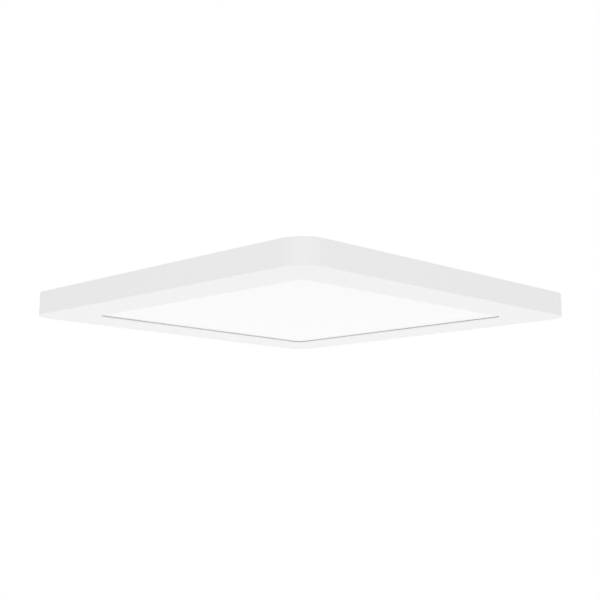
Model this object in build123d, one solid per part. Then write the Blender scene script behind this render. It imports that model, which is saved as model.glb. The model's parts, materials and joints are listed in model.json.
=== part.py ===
from build123d import *
import os

# Square, slim, edge-lit flush mount ceiling light. All sizes are millimetres.
# The origin is the centre of the ceiling plane and +Z points up into the ceiling, so the
# light hangs below z = 0. +Y is called the rear and +X the right.

# ------------------------------------------------------------------ driving sizes
# The body, as the room sees it
BODY_SIDE = 300.0
BODY_HEIGHT = 18.0
CORNER_RADIUS = 19.0
EDGE_CHAMFER = 0.5          # between the side walls and the bezel's face
WALL = 1.8
BEZEL_WIDTH = 37.5          # from the outside wall to the opening
BEZEL_THICKNESS = 1.8
OPENING_RADIUS = 7.0
LIP_THICKNESS = 1.3         # the thin part of the bezel in front of the diffuser
LIP_CHAMFER = 0.3
RELIEF_DEPTH = 0.45         # step behind the lip's rim, a shadow gap round the diffuser
RELIEF_WIDTH = 2.5

# The optical stack behind the opening
GUIDE_OVERLAP = 5.0         # light guide beyond the opening, on each side
GUIDE_THICKNESS = 2.5
DIFFUSER_MARGIN = 1.0       # diffuser beyond the light guide
DIFFUSER_THICKNESS = 1.5
POCKET_CLEARANCE = 0.25     # round the diffuser
SHEET_MARGIN = 0.5          # reflector and foam beyond the light guide
REFLECTOR_THICKNESS = 0.3

# The light sources, four boards that shine into the guide's edges
LED_GAP = 0.6               # from a package to the guide's edge
LED_LENGTH = 4.0
LED_HEIGHT = 1.4
LED_DEPTH = 0.8
LED_PITCH = 9.0
LED_INSET = 7.0             # from a board's end to its first package, at least
LED_BOARD_INSET = 13.5      # from the guide's corner to a board's end
LED_BOARD_HEIGHT = 4.0
LED_BOARD_THICKNESS = 1.0
LED_BOARD_CLEARANCE = 0.05  # under the board, to the bezel
TAPE_THICKNESS = 0.2
PAD_WIDTH = 2.0             # silicone pads that centre the guide
PAD_INSET = 5.5             # pad centre from the board's end
JUMPER_THICKNESS = 0.3      # flat flexible links between the boards
JUMPER_WIDTH = 2.4
JUMPER_BEND = 3.5
JUMPER_CLEARANCE = 0.75     # from the guide's corner to a link
SOLDER_INSET = 3.5          # where a wire starts, from the board's end

# The casting's inner features
RAIL_THICKNESS = 2.0
RAIL_MARGIN = 2.0           # rail beyond the board's end
RAIL_RISE = 0.55            # rail above the board
BOSS_SIDE = 7.0             # square screw bosses
BOSS_OFFSET = 8.9           # from the rail's back to a boss centre
PILOT_DIAMETER = 2.5
PILOT_FLOOR = 0.4           # metal left under a pilot hole, above the bezel
RIB_THICKNESS = 1.6
RIB_COUNT = 7               # on each side
RIB_SPACING = 30.0
RIB_ROOT = 0.5              # how far a rib runs into the wall and bezel
RIB_GAP = 0.6               # under the back plate
RIB_STEP = 1.5              # beyond the back plate's edge
RIB_TOP_WIDTH = 2.0
RIB_HEADROOM = 3.0          # from the ceiling down to a rib's top

# Back plate
PLATE_THICKNESS = 0.8
PLATE_EDGE = 8.0            # beyond the screw centres
PLATE_RADIUS = 12.0
PLATE_HOLE_DIAMETER = 3.4
BEAD_WIDTH = 8.0
BEAD_HEIGHT = 1.2
BEAD_TAPER = 20.0           # degrees
BEAD_END = 35.0             # bead's end from the next bead's line
SCREW_HEAD_WIDTH = 5.5      # across the flats of the hexagon heads
SCREW_HEAD_HEIGHT = 1.8
SCREW_DIAMETER = 2.4
SCREW_LENGTH = 4.2

# Weld studs on the back plate, and their nuts
STUD_DIAMETER = 3.0
STUD_LENGTH = 5.0
STUD_HOLE = 3.3             # in whatever a stud holds
NUT_WIDTH = 5.5
NUT_HEIGHT = 2.4
NUT_BORE = 3.1
FASTENER_SIDES = 12         # flats round the small screws, studs, bushes and their holes

# Mounting bracket
BRACKET_LENGTH = 144.0
BRACKET_WIDTH = 32.0
BRACKET_THICKNESS = 1.5
BRACKET_BEND = 1.0          # inside radius of every bend
LEG_CLEARANCE = 1.6         # from a leg to the back plate
LEG_CORNER = 3.0
FLANGE_DEPTH = 4.0
FLANGE_LENGTH = 110.0
BEND_RELIEF = 1.5
SLOT_SPACING = 80.0
SLOT_LENGTH = 15.0
SLOT_WIDTH = 4.8
WIRE_OPENING_LENGTH = 26.0
WIRE_OPENING_WIDTH = 18.0
WIRE_OPENING_RADIUS = 4.0
WINDOW_WIDTH = 16.0
WINDOW_HEIGHT = 2.9
WINDOW_DEPTH = 3.0          # from the ceiling down to a window
GROUND_SCREW_PLACE = 23.0
GROUND_SCREW_DIAMETER = 3.9
GROUND_SCREW_HOLE = 4.0
GROUND_HEAD_WIDTH = 7.0
GROUND_HEAD_HEIGHT = 2.2

# Spring clips
CLIP_THICKNESS = 0.5
CLIP_WIDTH = 12.0
CLIP_BEND = 0.8             # centre-line radius of the foot's bends
BARB_BEND = 0.6             # centre-line radius at the tip
BARB_REACH = 1.1            # the barb's point beyond the leg's outer face
BARB_RISE = 1.3             # the barb's point above the window's lower edge
BARB_SLOPE = 1.38           # sideways run of the barb for each millimetre of height
CLIP_KNEE = 1.8             # the knee above the back plate
CLIP_STUD_OFFSET = 8.0      # from the knee to the stud
CLIP_TOE = 5.0              # foot beyond the stud
LEAD_IN_REACH = 4.1
LEAD_IN_RISE = 2.7

# Driver housing
DRIVER_LENGTH = 124.0
DRIVER_WIDTH = 56.0
DRIVER_GAP = 14.0           # from the bracket's edge
DRIVER_HEADROOM = 1.3       # from the cover's top to the ceiling
DRIVER_CORNER = 3.0
TRAY_THICKNESS = 1.2
COVER_WALL = 1.2
COVER_CHAMFER = 0.8
LIP_WIDTH = 1.0             # the tray's inner lip
LIP_HEIGHT = 2.0
LIP_FIT = 0.1               # between the lip and the cover
EAR_LENGTH = 8.0
EAR_WIDTH = 12.0
SNAP_LENGTH = 6.0
SNAP_HEIGHT = 1.0
SNAP_FIT = 0.2
SNAP_PLACE = 34.0           # snap centres from the driver's middle

# Driver circuit
SHEET_THICKNESS = 0.2
POST_SIDE = 4.0
POST_HEIGHT = 0.8
POST_INSET = 5.0
CIRCUIT_THICKNESS = 1.2
CIRCUIT_FIT = 0.3           # round the circuit board, inside the lip
PART_CLEARANCE = 0.2        # between components and what is over or round them
CORE_LENGTH = 20.0
CORE_WIDTH = 14.0
CORE_PLATE = 1.5
CORE_LEG = 2.5              # half of the centre leg, and each outer leg
WINDING_WIDTH = 4.6         # beyond the centre leg
TRANSFORMER_PLACE = (2.0, 0.0)
CAPACITOR_LENGTH = 12.0
INPUT_CAPACITOR_PLACE = (-32.0, 9.0)
OUTPUT_CAPACITOR_PLACE = (24.0, 7.0)
CHOKE_SIDE = 9.0
CHOKE_PLACE = (-32.0, -10.0)
RECTIFIER_SIZE = (6.4, 5.0, 2.3)
RECTIFIER_PLACE = (-46.0, 6.0)
CHIP_SIZE = (5.0, 4.0, 1.5)
CHIP_PLACE = (-18.0, 8.0)
TRANSISTOR_SIZE = (6.5, 6.0, 2.2)
TRANSISTOR_PLACE = (-18.0, -6.0)
FUSE_DIAMETER = 2.6
FUSE_LENGTH = 9.0
FUSE_PLACE = (-51.0, -8.0)
VARISTOR_DIAMETER = 7.0
VARISTOR_THICKNESS = 3.0
VARISTOR_PLACE = (-42.0, -6.0)
CONNECTOR_DEPTH = 7.0
CONNECTOR_WALL = 1.2        # round the bores
CONNECTOR_BORE_FIT = 0.1
INPUT_CONNECTOR_PLACE = -44.0
INPUT_PITCH = 4.0
OUTPUT_CONNECTOR_PLACE = 12.0
OUTPUT_PITCH = 2.0
NOTCH_CLEARANCE = 0.4       # round the leads, where they pass the cover's wall

# Colour-temperature selector, a three-position slide switch
SELECTOR_PLACE = (38.0, -12.0)
SELECTOR_LENGTH = 13.0
SELECTOR_WIDTH = 6.0
SELECTOR_TRAVEL = 2.5       # each way from the middle position
SELECTOR_POCKET = 1.6
SELECTOR_FIT = 0.25         # round the knob
KNOB_FOOT_LENGTH = 4.0
KNOB_FOOT_WIDTH = 3.0
KNOB_LENGTH = 3.0
KNOB_WIDTH = 2.0
KNOB_ROUND = 0.3
KNOB_HEADROOM = 0.5         # from the knob's top to the ceiling

# Terminal block, the supply's inlet
TERMINAL_GAP = 14.0         # from the bracket's edge
TERMINAL_HEADROOM = 2.0
TERMINAL_DEPTH = 16.0
TERMINAL_POLES = 3
TERMINAL_PITCH = 8.5
TERMINAL_CORNER = 1.0
TERMINAL_FLOOR = 1.2
TERMINAL_ROOF = 2.4
TERMINAL_EAR_LENGTH = 7.5
TERMINAL_EAR_WIDTH = 9.0
TERMINAL_EAR_THICKNESS = 2.0
RELEASE_SLOT = (3.0, 1.2)   # for the screwdriver that frees a conductor
RELEASE_OFFSET = 4.4
CONTACT_WIDTH = 4.6
CONTACT_LENGTH = 11.0
CONTACT_FIT = 0.1
BUSBAR_THICKNESS = 0.8
SPRING_THICKNESS = 0.4      # the leaves that press the conductors on the busbar
SPRING_REACH = 4.8          # from the middle to a leaf's fold
SPRING_TIP = 1.6            # from the middle to a leaf's tip

# Leads
LEAD_SIDES = 6              # flats round a lead
MAINS_LEAD_DIAMETER = 1.9
CONDUCTOR_DIAMETER = 1.2
STRIP_LENGTH = 4.0          # bare conductor
LED_LEAD_DIAMETER = 1.0
LED_LEAD_PITCH = 1.4
LEAD_OVER_BEAD = 0.3
CROSSING_MARGIN = 2.0       # a driver lead's straight run ends this far before the crossbar
LEVEL_RUN = 5.0             # outside the driver, level with its connector
DRIVER_LEAD_RADII = [8.0, 8.0, 4.0]
EARTH_STUD_OFFSET = 34.0
EARTH_RUN = 11.0            # from the insulation's start to the earth lead's loop
EARTH_LOOP = 15.0           # and to the loop's far end
EARTH_LEAD_RADII = [5.0, 6.0, 5.0]
LED_LEAD_TURN = (38.0, 36.0)    # where these leads turn back, from the driver's end and middle
LED_LEAD_RUN = 16.0         # outside the driver, level with its connector
LED_LEAD_RADII = [3.0, 2.0, 2.0, 12.0, 8.0]
TAG_DIAMETER = 6.4
TAG_THICKNESS = 0.8
TAG_NECK = 3.0
TAG_REACH = 5.0             # from the stud to the barrel
BARREL_LENGTH = 5.0
BARREL_WALL = 0.5
BARREL_FIT = 0.05
GROMMET_BORE = 3.4
GROMMET_NECK = 5.4
GROMMET_FLANGE = 8.0
GROMMET_FLANGE_THICKNESS = 0.7
GROMMET_FIT = 0.05
GROMMET_ALONG = 7.5         # beyond the rail's end
GROMMET_OUT = 2.9           # outside the rail's inner face

OVERRUN = 1.0               # how far a cutting shape runs past what it cuts

# ------------------------------------------------------------------ derived heights
face = -BODY_HEIGHT
bezel_back = face + BEZEL_THICKNESS
diffuser_low = face + LIP_THICKNESS
diffuser_high = diffuser_low + DIFFUSER_THICKNESS
guide_high = diffuser_high + GUIDE_THICKNESS
reflector_high = guide_high + REFLECTOR_THICKNESS
led_level = (diffuser_high + guide_high) / 2
led_board_low = bezel_back + LED_BOARD_CLEARANCE
led_board_high = led_board_low + LED_BOARD_HEIGHT
plate_low = led_board_high + RAIL_RISE
plate_high = plate_low + PLATE_THICKNESS
leg_low = plate_high + LEG_CLEARANCE
window_high = -WINDOW_DEPTH
window_low = window_high - WINDOW_HEIGHT
tray_high = plate_high + TRAY_THICKNESS
cover_high = -DRIVER_HEADROOM
cover_inside = cover_high - COVER_WALL
sheet_high = tray_high + SHEET_THICKNESS
circuit_low = tray_high + POST_HEIGHT
circuit_high = circuit_low + CIRCUIT_THICKNESS
component_high = cover_inside - PART_CLEARANCE
connector_level = (circuit_high + component_high) / 2
terminal_high = -TERMINAL_HEADROOM
cavity_low = plate_high + TERMINAL_FLOOR
cavity_high = terminal_high - TERMINAL_ROOF
contact_high = cavity_high - CONTACT_FIT
conductor_level = cavity_low + BUSBAR_THICKNESS + CONDUCTOR_DIAMETER / 2
led_lead_level = plate_high + BEAD_HEIGHT + LEAD_OVER_BEAD + LED_LEAD_DIAMETER / 2

# ------------------------------------------------------------------ derived plan sizes
inner_side = BODY_SIDE - 2 * WALL
opening_side = BODY_SIDE - 2 * BEZEL_WIDTH
guide_side = opening_side + 2 * GUIDE_OVERLAP
diffuser_side = guide_side + 2 * DIFFUSER_MARGIN
diffuser_radius = OPENING_RADIUS + GUIDE_OVERLAP + DIFFUSER_MARGIN
pocket_side = diffuser_side + 2 * POCKET_CLEARANCE
sheet_side = guide_side + 2 * SHEET_MARGIN
led_board_length = guide_side - 2 * LED_BOARD_INSET
led_count = int((led_board_length - 2 * LED_INSET - LED_LENGTH) / LED_PITCH) + 1
led_face = guide_side / 2 + LED_GAP
led_board_face = led_face + LED_DEPTH
led_board_back = led_board_face + LED_BOARD_THICKNESS
rail_face = led_board_back + TAPE_THICKNESS
rail_back = rail_face + RAIL_THICKNESS
rail_end = led_board_length / 2 + RAIL_MARGIN
boss_place = rail_back + BOSS_OFFSET
plate_side = 2 * (boss_place + PLATE_EDGE)
leg_face = BRACKET_LENGTH / 2
barb_point = (leg_face - BARB_REACH, window_low + BARB_RISE)
knee = (barb_point[0] + (barb_point[1] - plate_high - CLIP_KNEE) * BARB_SLOPE, plate_high + CLIP_KNEE)
clip_stud = knee[0] + CLIP_STUD_OFFSET
bead_line = (clip_stud + CLIP_TOE + boss_place) / 2
driver_front = BRACKET_WIDTH / 2 + DRIVER_GAP
driver_middle = driver_front + DRIVER_WIDTH / 2
ear_stud = DRIVER_LENGTH / 2 + EAR_LENGTH / 2
cover_bore = (DRIVER_LENGTH - 2 * COVER_WALL, DRIVER_WIDTH - 2 * COVER_WALL)
circuit_length = cover_bore[0] - 2 * (LIP_FIT + LIP_WIDTH + CIRCUIT_FIT)
circuit_width = cover_bore[1] - 2 * (LIP_FIT + LIP_WIDTH + CIRCUIT_FIT)
terminal_middle = -BRACKET_WIDTH / 2 - TERMINAL_GAP - TERMINAL_DEPTH / 2
terminal_length = TERMINAL_POLES * TERMINAL_PITCH
terminal_stud = -(terminal_length + TERMINAL_EAR_LENGTH) / 2
pole_places = [(i - (TERMINAL_POLES - 1) / 2) * TERMINAL_PITCH for i in range(TERMINAL_POLES)]
grommet_place = (rail_end + GROMMET_ALONG, rail_face + GROMMET_OUT)
capacitor_diameter = component_high - sheet_high

# The four sides, as turns from the rear side
SIDES = {"rear": 0, "left": 90, "front": 180, "right": 270}

# Each stud's place, and how thick the piece is that its nut holds down
STUDS = [
    (-ear_stud, driver_middle, TRAY_THICKNESS),
    (ear_stud, driver_middle, TRAY_THICKNESS),
    (-clip_stud, 0, CLIP_THICKNESS),
    (clip_stud, 0, CLIP_THICKNESS),
    (terminal_stud, terminal_middle, TERMINAL_EAR_THICKNESS),
    (EARTH_STUD_OFFSET, terminal_middle, TAG_THICKNESS),
]

# Where the screws hold the back plate: the corners and the middle of each side
SCREWS = [(x, y) for x in (-boss_place, 0, boss_place) for y in (-boss_place, 0, boss_place) if x or y]


# ------------------------------------------------------------------ helpers
def block(x, y, z):
    """A box between two values along each axis."""
    middle = [(low + high) / 2 for low, high in (x, y, z)]
    size = [high - low for low, high in (x, y, z)]
    return Pos(*middle) * Box(*size)


def slab(length, width, radius, low, high, place=(0, 0)):
    """A rounded rectangle in plan, raised from one height to another."""
    outline = RectangleRounded(length, width, radius) if radius else Rectangle(length, width)
    return extrude(Pos(place[0], place[1], low) * outline, amount=high - low)


def disc(diameter, low, high, place=(0, 0)):
    """An upright cylinder between two heights."""
    return extrude(Pos(place[0], place[1], low) * Circle(diameter / 2), amount=high - low)


def strip(points, radius, thickness, width):
    """Sheet metal bent along points in the XZ plane, which are its centre line, as wide along Y."""
    path = FilletPolyline(*[(x, 0, z) for x, z in points], radius=radius)
    start = Plane(origin=path @ 0, x_dir=(0, 1, 0), z_dir=path % 0)
    return sweep(start * Rectangle(width, thickness), path=path)


def tube(points, radii, diameter):
    """A lead along straight runs joined by arcs."""
    path = FilletPolyline(*points, radius=radii)
    start = Plane(origin=path @ 0, z_dir=path % 0)
    return sweep(start * RegularPolygon(diameter / 2, LEAD_SIDES), path=path)


def peg(diameter, low, high, place=(0, 0)):
    """A small upright round, in flats."""
    outline = RegularPolygon(diameter / 2, FASTENER_SIDES)
    return extrude(Pos(place[0], place[1], low) * outline, amount=high - low)


def hexagon(width, low, high):
    """A hexagon head or nut, as wide across its flats."""
    outline = RegularPolygon(width / 2, 6, major_radius=False)
    return extrude(Pos(0, 0, low) * outline, amount=high - low)


def screw(head_width, head_height, diameter, length):
    """A hexagon-head screw with its head's underside at the origin and its shank downwards."""
    return hexagon(head_width, 0, head_height) + peg(diameter, -length, 0)


def ends(middle, length):
    """The two ends of a length about its middle."""
    return (middle - length / 2, middle + length / 2)


def on_sides(piece):
    """The piece of the rear side, repeated on all four sides."""
    return [Rot(0, 0, turn) * piece for turn in SIDES.values()]


def joined(pieces):
    """Pieces that are one solid, such as a casting's features."""
    whole = pieces[0]
    for piece in pieces[1:]:
        whole += piece
    return whole


def group(pieces):
    """Separate solids that share one node."""
    return Compound(children=[solid for piece in pieces for solid in piece.solids()])


# ------------------------------------------------------------------ die-cast frame
def gusset(start, step, wall):
    """A rib that runs under the back plate and then climbs the wall. It lies along +X."""
    floor = bezel_back - RIB_ROOT
    low = plate_low - RIB_GAP
    outline = Polyline(
        (start, floor),
        (wall + RIB_ROOT, floor),
        (wall + RIB_ROOT, -RIB_HEADROOM),
        (wall - RIB_TOP_WIDTH, -RIB_HEADROOM),
        (step, low),
        (start, low),
        close=True,
    )
    return extrude(Plane.XZ * make_face(outline), amount=RIB_THICKNESS / 2, both=True)


def frame_ribs():
    """The row of ribs on each side, and one behind each corner boss."""
    side_rib = gusset(rail_back - RIB_ROOT, plate_side / 2 + RIB_STEP, inner_side / 2)
    offsets = [(i - (RIB_COUNT - 1) / 2) * RIB_SPACING for i in range(RIB_COUNT)]
    ribs = [rib for offset in offsets for rib in on_sides(Pos(0, offset, 0) * side_rib)]
    diagonal = 2 ** 0.5
    plate_corner = (plate_side / 2 - PLATE_RADIUS) * diagonal + PLATE_RADIUS
    wall_radius = CORNER_RADIUS - WALL
    wall_corner = (inner_side / 2 - wall_radius) * diagonal + wall_radius
    corner_rib = gusset(boss_place * diagonal, plate_corner + RIB_STEP, wall_corner)
    return ribs + [Rot(0, 0, turn + 45) * corner_rib for turn in SIDES.values()]


def bezel_frame():
    shell = slab(BODY_SIDE, BODY_SIDE, CORNER_RADIUS, face, 0)
    shell -= slab(inner_side, inner_side, CORNER_RADIUS - WALL, bezel_back, OVERRUN)
    shell -= slab(opening_side, opening_side, OPENING_RADIUS, face - OVERRUN, OVERRUN)
    shell -= slab(pocket_side, pocket_side, diffuser_radius + POCKET_CLEARANCE, diffuser_low, OVERRUN)
    relief_side = opening_side + 2 * RELIEF_WIDTH
    relief_low = diffuser_low - RELIEF_DEPTH
    shell -= slab(relief_side, relief_side, OPENING_RADIUS + RELIEF_WIDTH, relief_low, OVERRUN)
    front = shell.faces().sort_by(Axis.Z)[0]
    shell = chamfer(front.outer_wire().edges(), EDGE_CHAMFER)
    front = shell.faces().sort_by(Axis.Z)[0]
    shell = chamfer(front.inner_wires()[0].edges(), LIP_CHAMFER)
    rail = block((-rail_end, rail_end), (rail_face, rail_back), (bezel_back - RIB_ROOT, plate_low))
    bosses = [slab(BOSS_SIDE, BOSS_SIDE, 0, bezel_back - RIB_ROOT, plate_low, place) for place in SCREWS]
    casting = joined([shell] + on_sides(rail) + frame_ribs() + bosses)
    for place in SCREWS:
        casting -= peg(PILOT_DIAMETER, bezel_back + PILOT_FLOOR, plate_low + OVERRUN, place)
    return casting


# ------------------------------------------------------------------ optical stack
def diffuser():
    return slab(diffuser_side, diffuser_side, diffuser_radius, diffuser_low, diffuser_high)


def light_guide():
    return slab(guide_side, guide_side, 0, diffuser_high, guide_high)


def reflector():
    return slab(sheet_side, sheet_side, 0, guide_high, reflector_high)


def foam_pad():
    return slab(sheet_side, sheet_side, 0, reflector_high, plate_low)


# ------------------------------------------------------------------ light sources
def led_board():
    """The rear board. It stands on the bezel and is taped to its rail."""
    half = led_board_length / 2
    return block((-half, half), (led_board_face, led_board_back), (led_board_low, led_board_high))


def led_row():
    """The rear board's packages, level with the middle of the guide's edge."""
    package = block(
        (-LED_LENGTH / 2, LED_LENGTH / 2),
        (led_face, led_board_face),
        (led_level - LED_HEIGHT / 2, led_level + LED_HEIGHT / 2),
    )
    return group([Pos((i - (led_count - 1) / 2) * LED_PITCH, 0, 0) * package for i in range(led_count)])


def thermal_tapes():
    half = led_board_length / 2
    tape = block((-half, half), (led_board_back, rail_face), (led_board_low, led_board_high))
    return group(on_sides(tape))


def guide_pads():
    """Two silicone pads on each board, between its last packages and its ends."""
    place = led_board_length / 2 - PAD_INSET
    pads = []
    for middle in (-place, place):
        pad = block(
            (middle - PAD_WIDTH / 2, middle + PAD_WIDTH / 2),
            (guide_side / 2, led_board_face),
            (diffuser_high, guide_high),
        )
        pads += on_sides(pad)
    return group(pads)


def corner_jumpers():
    """Flat flexible links from board to board round three corners. The leads take the fourth."""
    solder = led_board_length / 2 - SOLDER_INSET
    beside = led_board_face - JUMPER_THICKNESS / 2
    leave = rail_end + RAIL_MARGIN
    corner = guide_side / 2 + (JUMPER_CLEARANCE + JUMPER_THICKNESS / 2) * 2 ** 0.5
    shoulder = 2 * corner - rail_back
    points = [
        (solder, beside),
        (leave, beside),
        (shoulder, rail_back),
        (rail_back, shoulder),
        (beside, leave),
        (beside, solder),
    ]
    path = FilletPolyline(*[(x, y, led_level) for x, y in points], radius=JUMPER_BEND)
    start = Plane(origin=path @ 0, x_dir=(0, 0, 1), z_dir=path % 0)
    link = sweep(start * Rectangle(JUMPER_WIDTH, JUMPER_THICKNESS), path=path)
    return group([Rot(0, 0, SIDES[side]) * link for side in ("left", "front", "right")])


# ------------------------------------------------------------------ back plate and fasteners
def bead(inset, low):
    """The rear bead, tapered upwards with bevelled ends. Its hollow is inset by the sheet's thickness."""
    length = 2 * (bead_line - BEAD_END - inset)
    width = BEAD_WIDTH - 2 * inset
    outline = chamfer(Rectangle(length, width).vertices(), width / 3)
    return extrude(Pos(0, bead_line, low) * outline, amount=BEAD_HEIGHT, taper=BEAD_TAPER)


def back_plate():
    """Sheet with a hollow stiffening bead pressed up along each side."""
    plate = slab(plate_side, plate_side, PLATE_RADIUS, plate_low, plate_high)
    plate = joined([plate] + on_sides(bead(0, plate_high)))
    for hollow in on_sides(bead(PLATE_THICKNESS, plate_low)):
        plate -= hollow
    low, high = plate_low - OVERRUN, plate_high + OVERRUN
    for place in SCREWS:
        plate -= peg(PLATE_HOLE_DIAMETER, low, high, place)
    return plate - disc(GROMMET_NECK + 2 * GROMMET_FIT, low, high, grommet_place)


def back_plate_screws():
    one = screw(SCREW_HEAD_WIDTH, SCREW_HEAD_HEIGHT, SCREW_DIAMETER, SCREW_LENGTH)
    return group([Pos(x, y, plate_high) * one for x, y in SCREWS])


def weld_studs():
    return group([peg(STUD_DIAMETER, plate_high, plate_high + STUD_LENGTH, (x, y)) for x, y, _ in STUDS])


def stud_nuts():
    nut = hexagon(NUT_WIDTH, 0, NUT_HEIGHT) - peg(NUT_BORE, -OVERRUN, NUT_HEIGHT + OVERRUN)
    return group([Pos(x, y, plate_high + seat) * nut for x, y, seat in STUDS])


def lead_grommet():
    """A rubber bush: a flange on the back plate and a neck through it."""
    high = plate_high + GROMMET_FLANGE_THICKNESS
    bush = peg(GROMMET_FLANGE, plate_high, high, grommet_place)
    bush += peg(GROMMET_NECK, plate_low, high, grommet_place)
    return bush - peg(GROMMET_BORE, plate_low - OVERRUN, high + OVERRUN, grommet_place)


# ------------------------------------------------------------------ mounting bracket and clips
def mounting_bracket():
    """A pressed crossbar with stiffening flanges, and a windowed leg bent down at each end."""
    half = BRACKET_THICKNESS / 2
    bend = BRACKET_BEND + half
    low, high = -BRACKET_THICKNESS - OVERRUN, OVERRUN
    leg = leg_face - half
    outline = [(-leg, leg_low), (-leg, -half), (leg, -half), (leg, leg_low)]
    bar = strip(outline, bend, BRACKET_THICKNESS, BRACKET_WIDTH)
    leg_corners = bar.edges().filter_by(Axis.X).group_by(Axis.Z)[0]
    bar = fillet(leg_corners, LEG_CORNER)
    edge = BRACKET_WIDTH / 2
    root = edge - BRACKET_BEND - BRACKET_THICKNESS
    reach = FLANGE_LENGTH / 2 + BEND_RELIEF
    for side in (-1, 1):
        band = sorted((side * root, side * (edge + OVERRUN)))
        bar -= block((-reach, reach), band, (low, high))
    flange = edge - half
    outline = [(-flange, -FLANGE_DEPTH), (-flange, -half), (flange, -half), (flange, -FLANGE_DEPTH)]
    bar += Rot(0, 0, 90) * strip(outline, bend, BRACKET_THICKNESS, FLANGE_LENGTH)
    bar -= slab(WIRE_OPENING_LENGTH, WIRE_OPENING_WIDTH, WIRE_OPENING_RADIUS, low, high)
    for x in (-SLOT_SPACING / 2, SLOT_SPACING / 2):
        bar -= extrude(Pos(x, 0, low) * SlotOverall(SLOT_LENGTH, SLOT_WIDTH), amount=high - low)
    bar -= disc(GROUND_SCREW_HOLE, low, high, (GROUND_SCREW_PLACE, 0))
    through = BRACKET_LENGTH + 2 * OVERRUN
    return bar - block(ends(0, through), ends(0, WINDOW_WIDTH), (window_low, window_high))


def ground_screw():
    """Hangs under the crossbar, its tip level with the ceiling side."""
    one = screw(GROUND_HEAD_WIDTH, GROUND_HEAD_HEIGHT, GROUND_SCREW_DIAMETER, BRACKET_THICKNESS)
    return Pos(GROUND_SCREW_PLACE, 0, -BRACKET_THICKNESS) * Rot(180, 0, 0) * one


def spring_clip():
    """The right clip: a foot on the back plate, and a barb through the leg's window."""
    level = plate_high + CLIP_THICKNESS / 2
    points = [
        (clip_stud + CLIP_TOE, level),
        (knee[0], level),
        knee,
        barb_point,
        (barb_point[0] + LEAD_IN_REACH, barb_point[1] + LEAD_IN_RISE),
    ]
    clip = strip(points, [CLIP_BEND, CLIP_BEND, BARB_BEND], CLIP_THICKNESS, CLIP_WIDTH)
    high = plate_high + CLIP_THICKNESS + OVERRUN
    return clip - peg(STUD_HOLE, plate_high - OVERRUN, high, (clip_stud, 0))


# ------------------------------------------------------------------ driver housing
def at_driver(place):
    """A place on the driver's circuit board, measured from the driver's middle."""
    return (place[0], driver_middle + place[1])


def snap_places():
    return [(x, side) for x in (-SNAP_PLACE, SNAP_PLACE) for side in (-1, 1)]


def post_places():
    x, y = circuit_length / 2 - POST_INSET, circuit_width / 2 - POST_INSET
    return [at_driver((u, v)) for u in (-x, x) for v in (-y, y)]


def driver_tray():
    middle = (0, driver_middle)
    tray = slab(DRIVER_LENGTH, DRIVER_WIDTH, DRIVER_CORNER, plate_high, tray_high, middle)
    tray += slab(DRIVER_LENGTH + 2 * EAR_LENGTH, EAR_WIDTH, 0, plate_high, tray_high, middle)
    length = cover_bore[0] - 2 * LIP_FIT
    width = cover_bore[1] - 2 * LIP_FIT
    radius = DRIVER_CORNER - COVER_WALL
    lip = slab(length, width, radius, tray_high, tray_high + LIP_HEIGHT, middle)
    bore = (length - 2 * LIP_WIDTH, width - 2 * LIP_WIDTH)
    tray += lip - slab(*bore, 0, tray_high - OVERRUN, tray_high + LIP_HEIGHT + OVERRUN, middle)
    for place in post_places():
        tray += slab(POST_SIDE, POST_SIDE, 0, tray_high, circuit_low, place)
    for x in (-ear_stud, ear_stud):
        tray -= peg(STUD_HOLE, plate_high - OVERRUN, tray_high + OVERRUN, (x, driver_middle))
    high = tray_high + LIP_HEIGHT
    for x, side in snap_places():
        band = sorted(driver_middle + side * y for y in (width / 2 - LIP_WIDTH / 2, DRIVER_WIDTH / 2))
        tray += block(ends(x, SNAP_LENGTH), band, (high - SNAP_HEIGHT, high))
    return tray


def driver_cover():
    middle = (0, driver_middle)
    cover = slab(DRIVER_LENGTH, DRIVER_WIDTH, DRIVER_CORNER, tray_high, cover_high, middle)
    cover = chamfer(cover.faces().sort_by(Axis.Z)[-1].edges(), COVER_CHAMFER)
    cover -= slab(*cover_bore, DRIVER_CORNER - COVER_WALL, tray_high - OVERRUN, cover_inside, middle)
    high = tray_high + LIP_HEIGHT
    for x, side in snap_places():
        through = (cover_bore[1] / 2 - OVERRUN, DRIVER_WIDTH / 2 + OVERRUN)
        band = sorted(driver_middle + side * y for y in through)
        window = ends(x, SNAP_LENGTH + 2 * SNAP_FIT)
        cover -= block(window, band, (high - SNAP_HEIGHT - SNAP_FIT, high + SNAP_FIT))
    around = MAINS_LEAD_DIAMETER + 2 * NOTCH_CLEARANCE
    cover -= block(
        ends(INPUT_CONNECTOR_PLACE, INPUT_PITCH + around),
        (driver_front - OVERRUN, driver_front + COVER_WALL + OVERRUN),
        (tray_high - OVERRUN, connector_level + around / 2),
    )
    around = LED_LEAD_DIAMETER + 2 * NOTCH_CLEARANCE
    cover -= block(
        (DRIVER_LENGTH / 2 - COVER_WALL - OVERRUN, DRIVER_LENGTH / 2 + OVERRUN),
        ends(driver_middle + OUTPUT_CONNECTOR_PLACE, OUTPUT_PITCH + around),
        (tray_high - OVERRUN, connector_level + around / 2),
    )
    slot = (KNOB_LENGTH + 2 * (SELECTOR_TRAVEL + SELECTOR_FIT), KNOB_WIDTH + 2 * SELECTOR_FIT)
    return cover - slab(*slot, 0, cover_inside - OVERRUN, cover_high + OVERRUN, at_driver(SELECTOR_PLACE))


def insulating_sheet():
    """Lies on the tray, round the posts of the circuit board."""
    sheet = slab(circuit_length, circuit_width, 0, tray_high, sheet_high, (0, driver_middle))
    hole = POST_SIDE + 2 * CIRCUIT_FIT
    for place in post_places():
        sheet -= slab(hole, hole, 0, tray_high - OVERRUN, sheet_high + OVERRUN, place)
    return sheet


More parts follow.
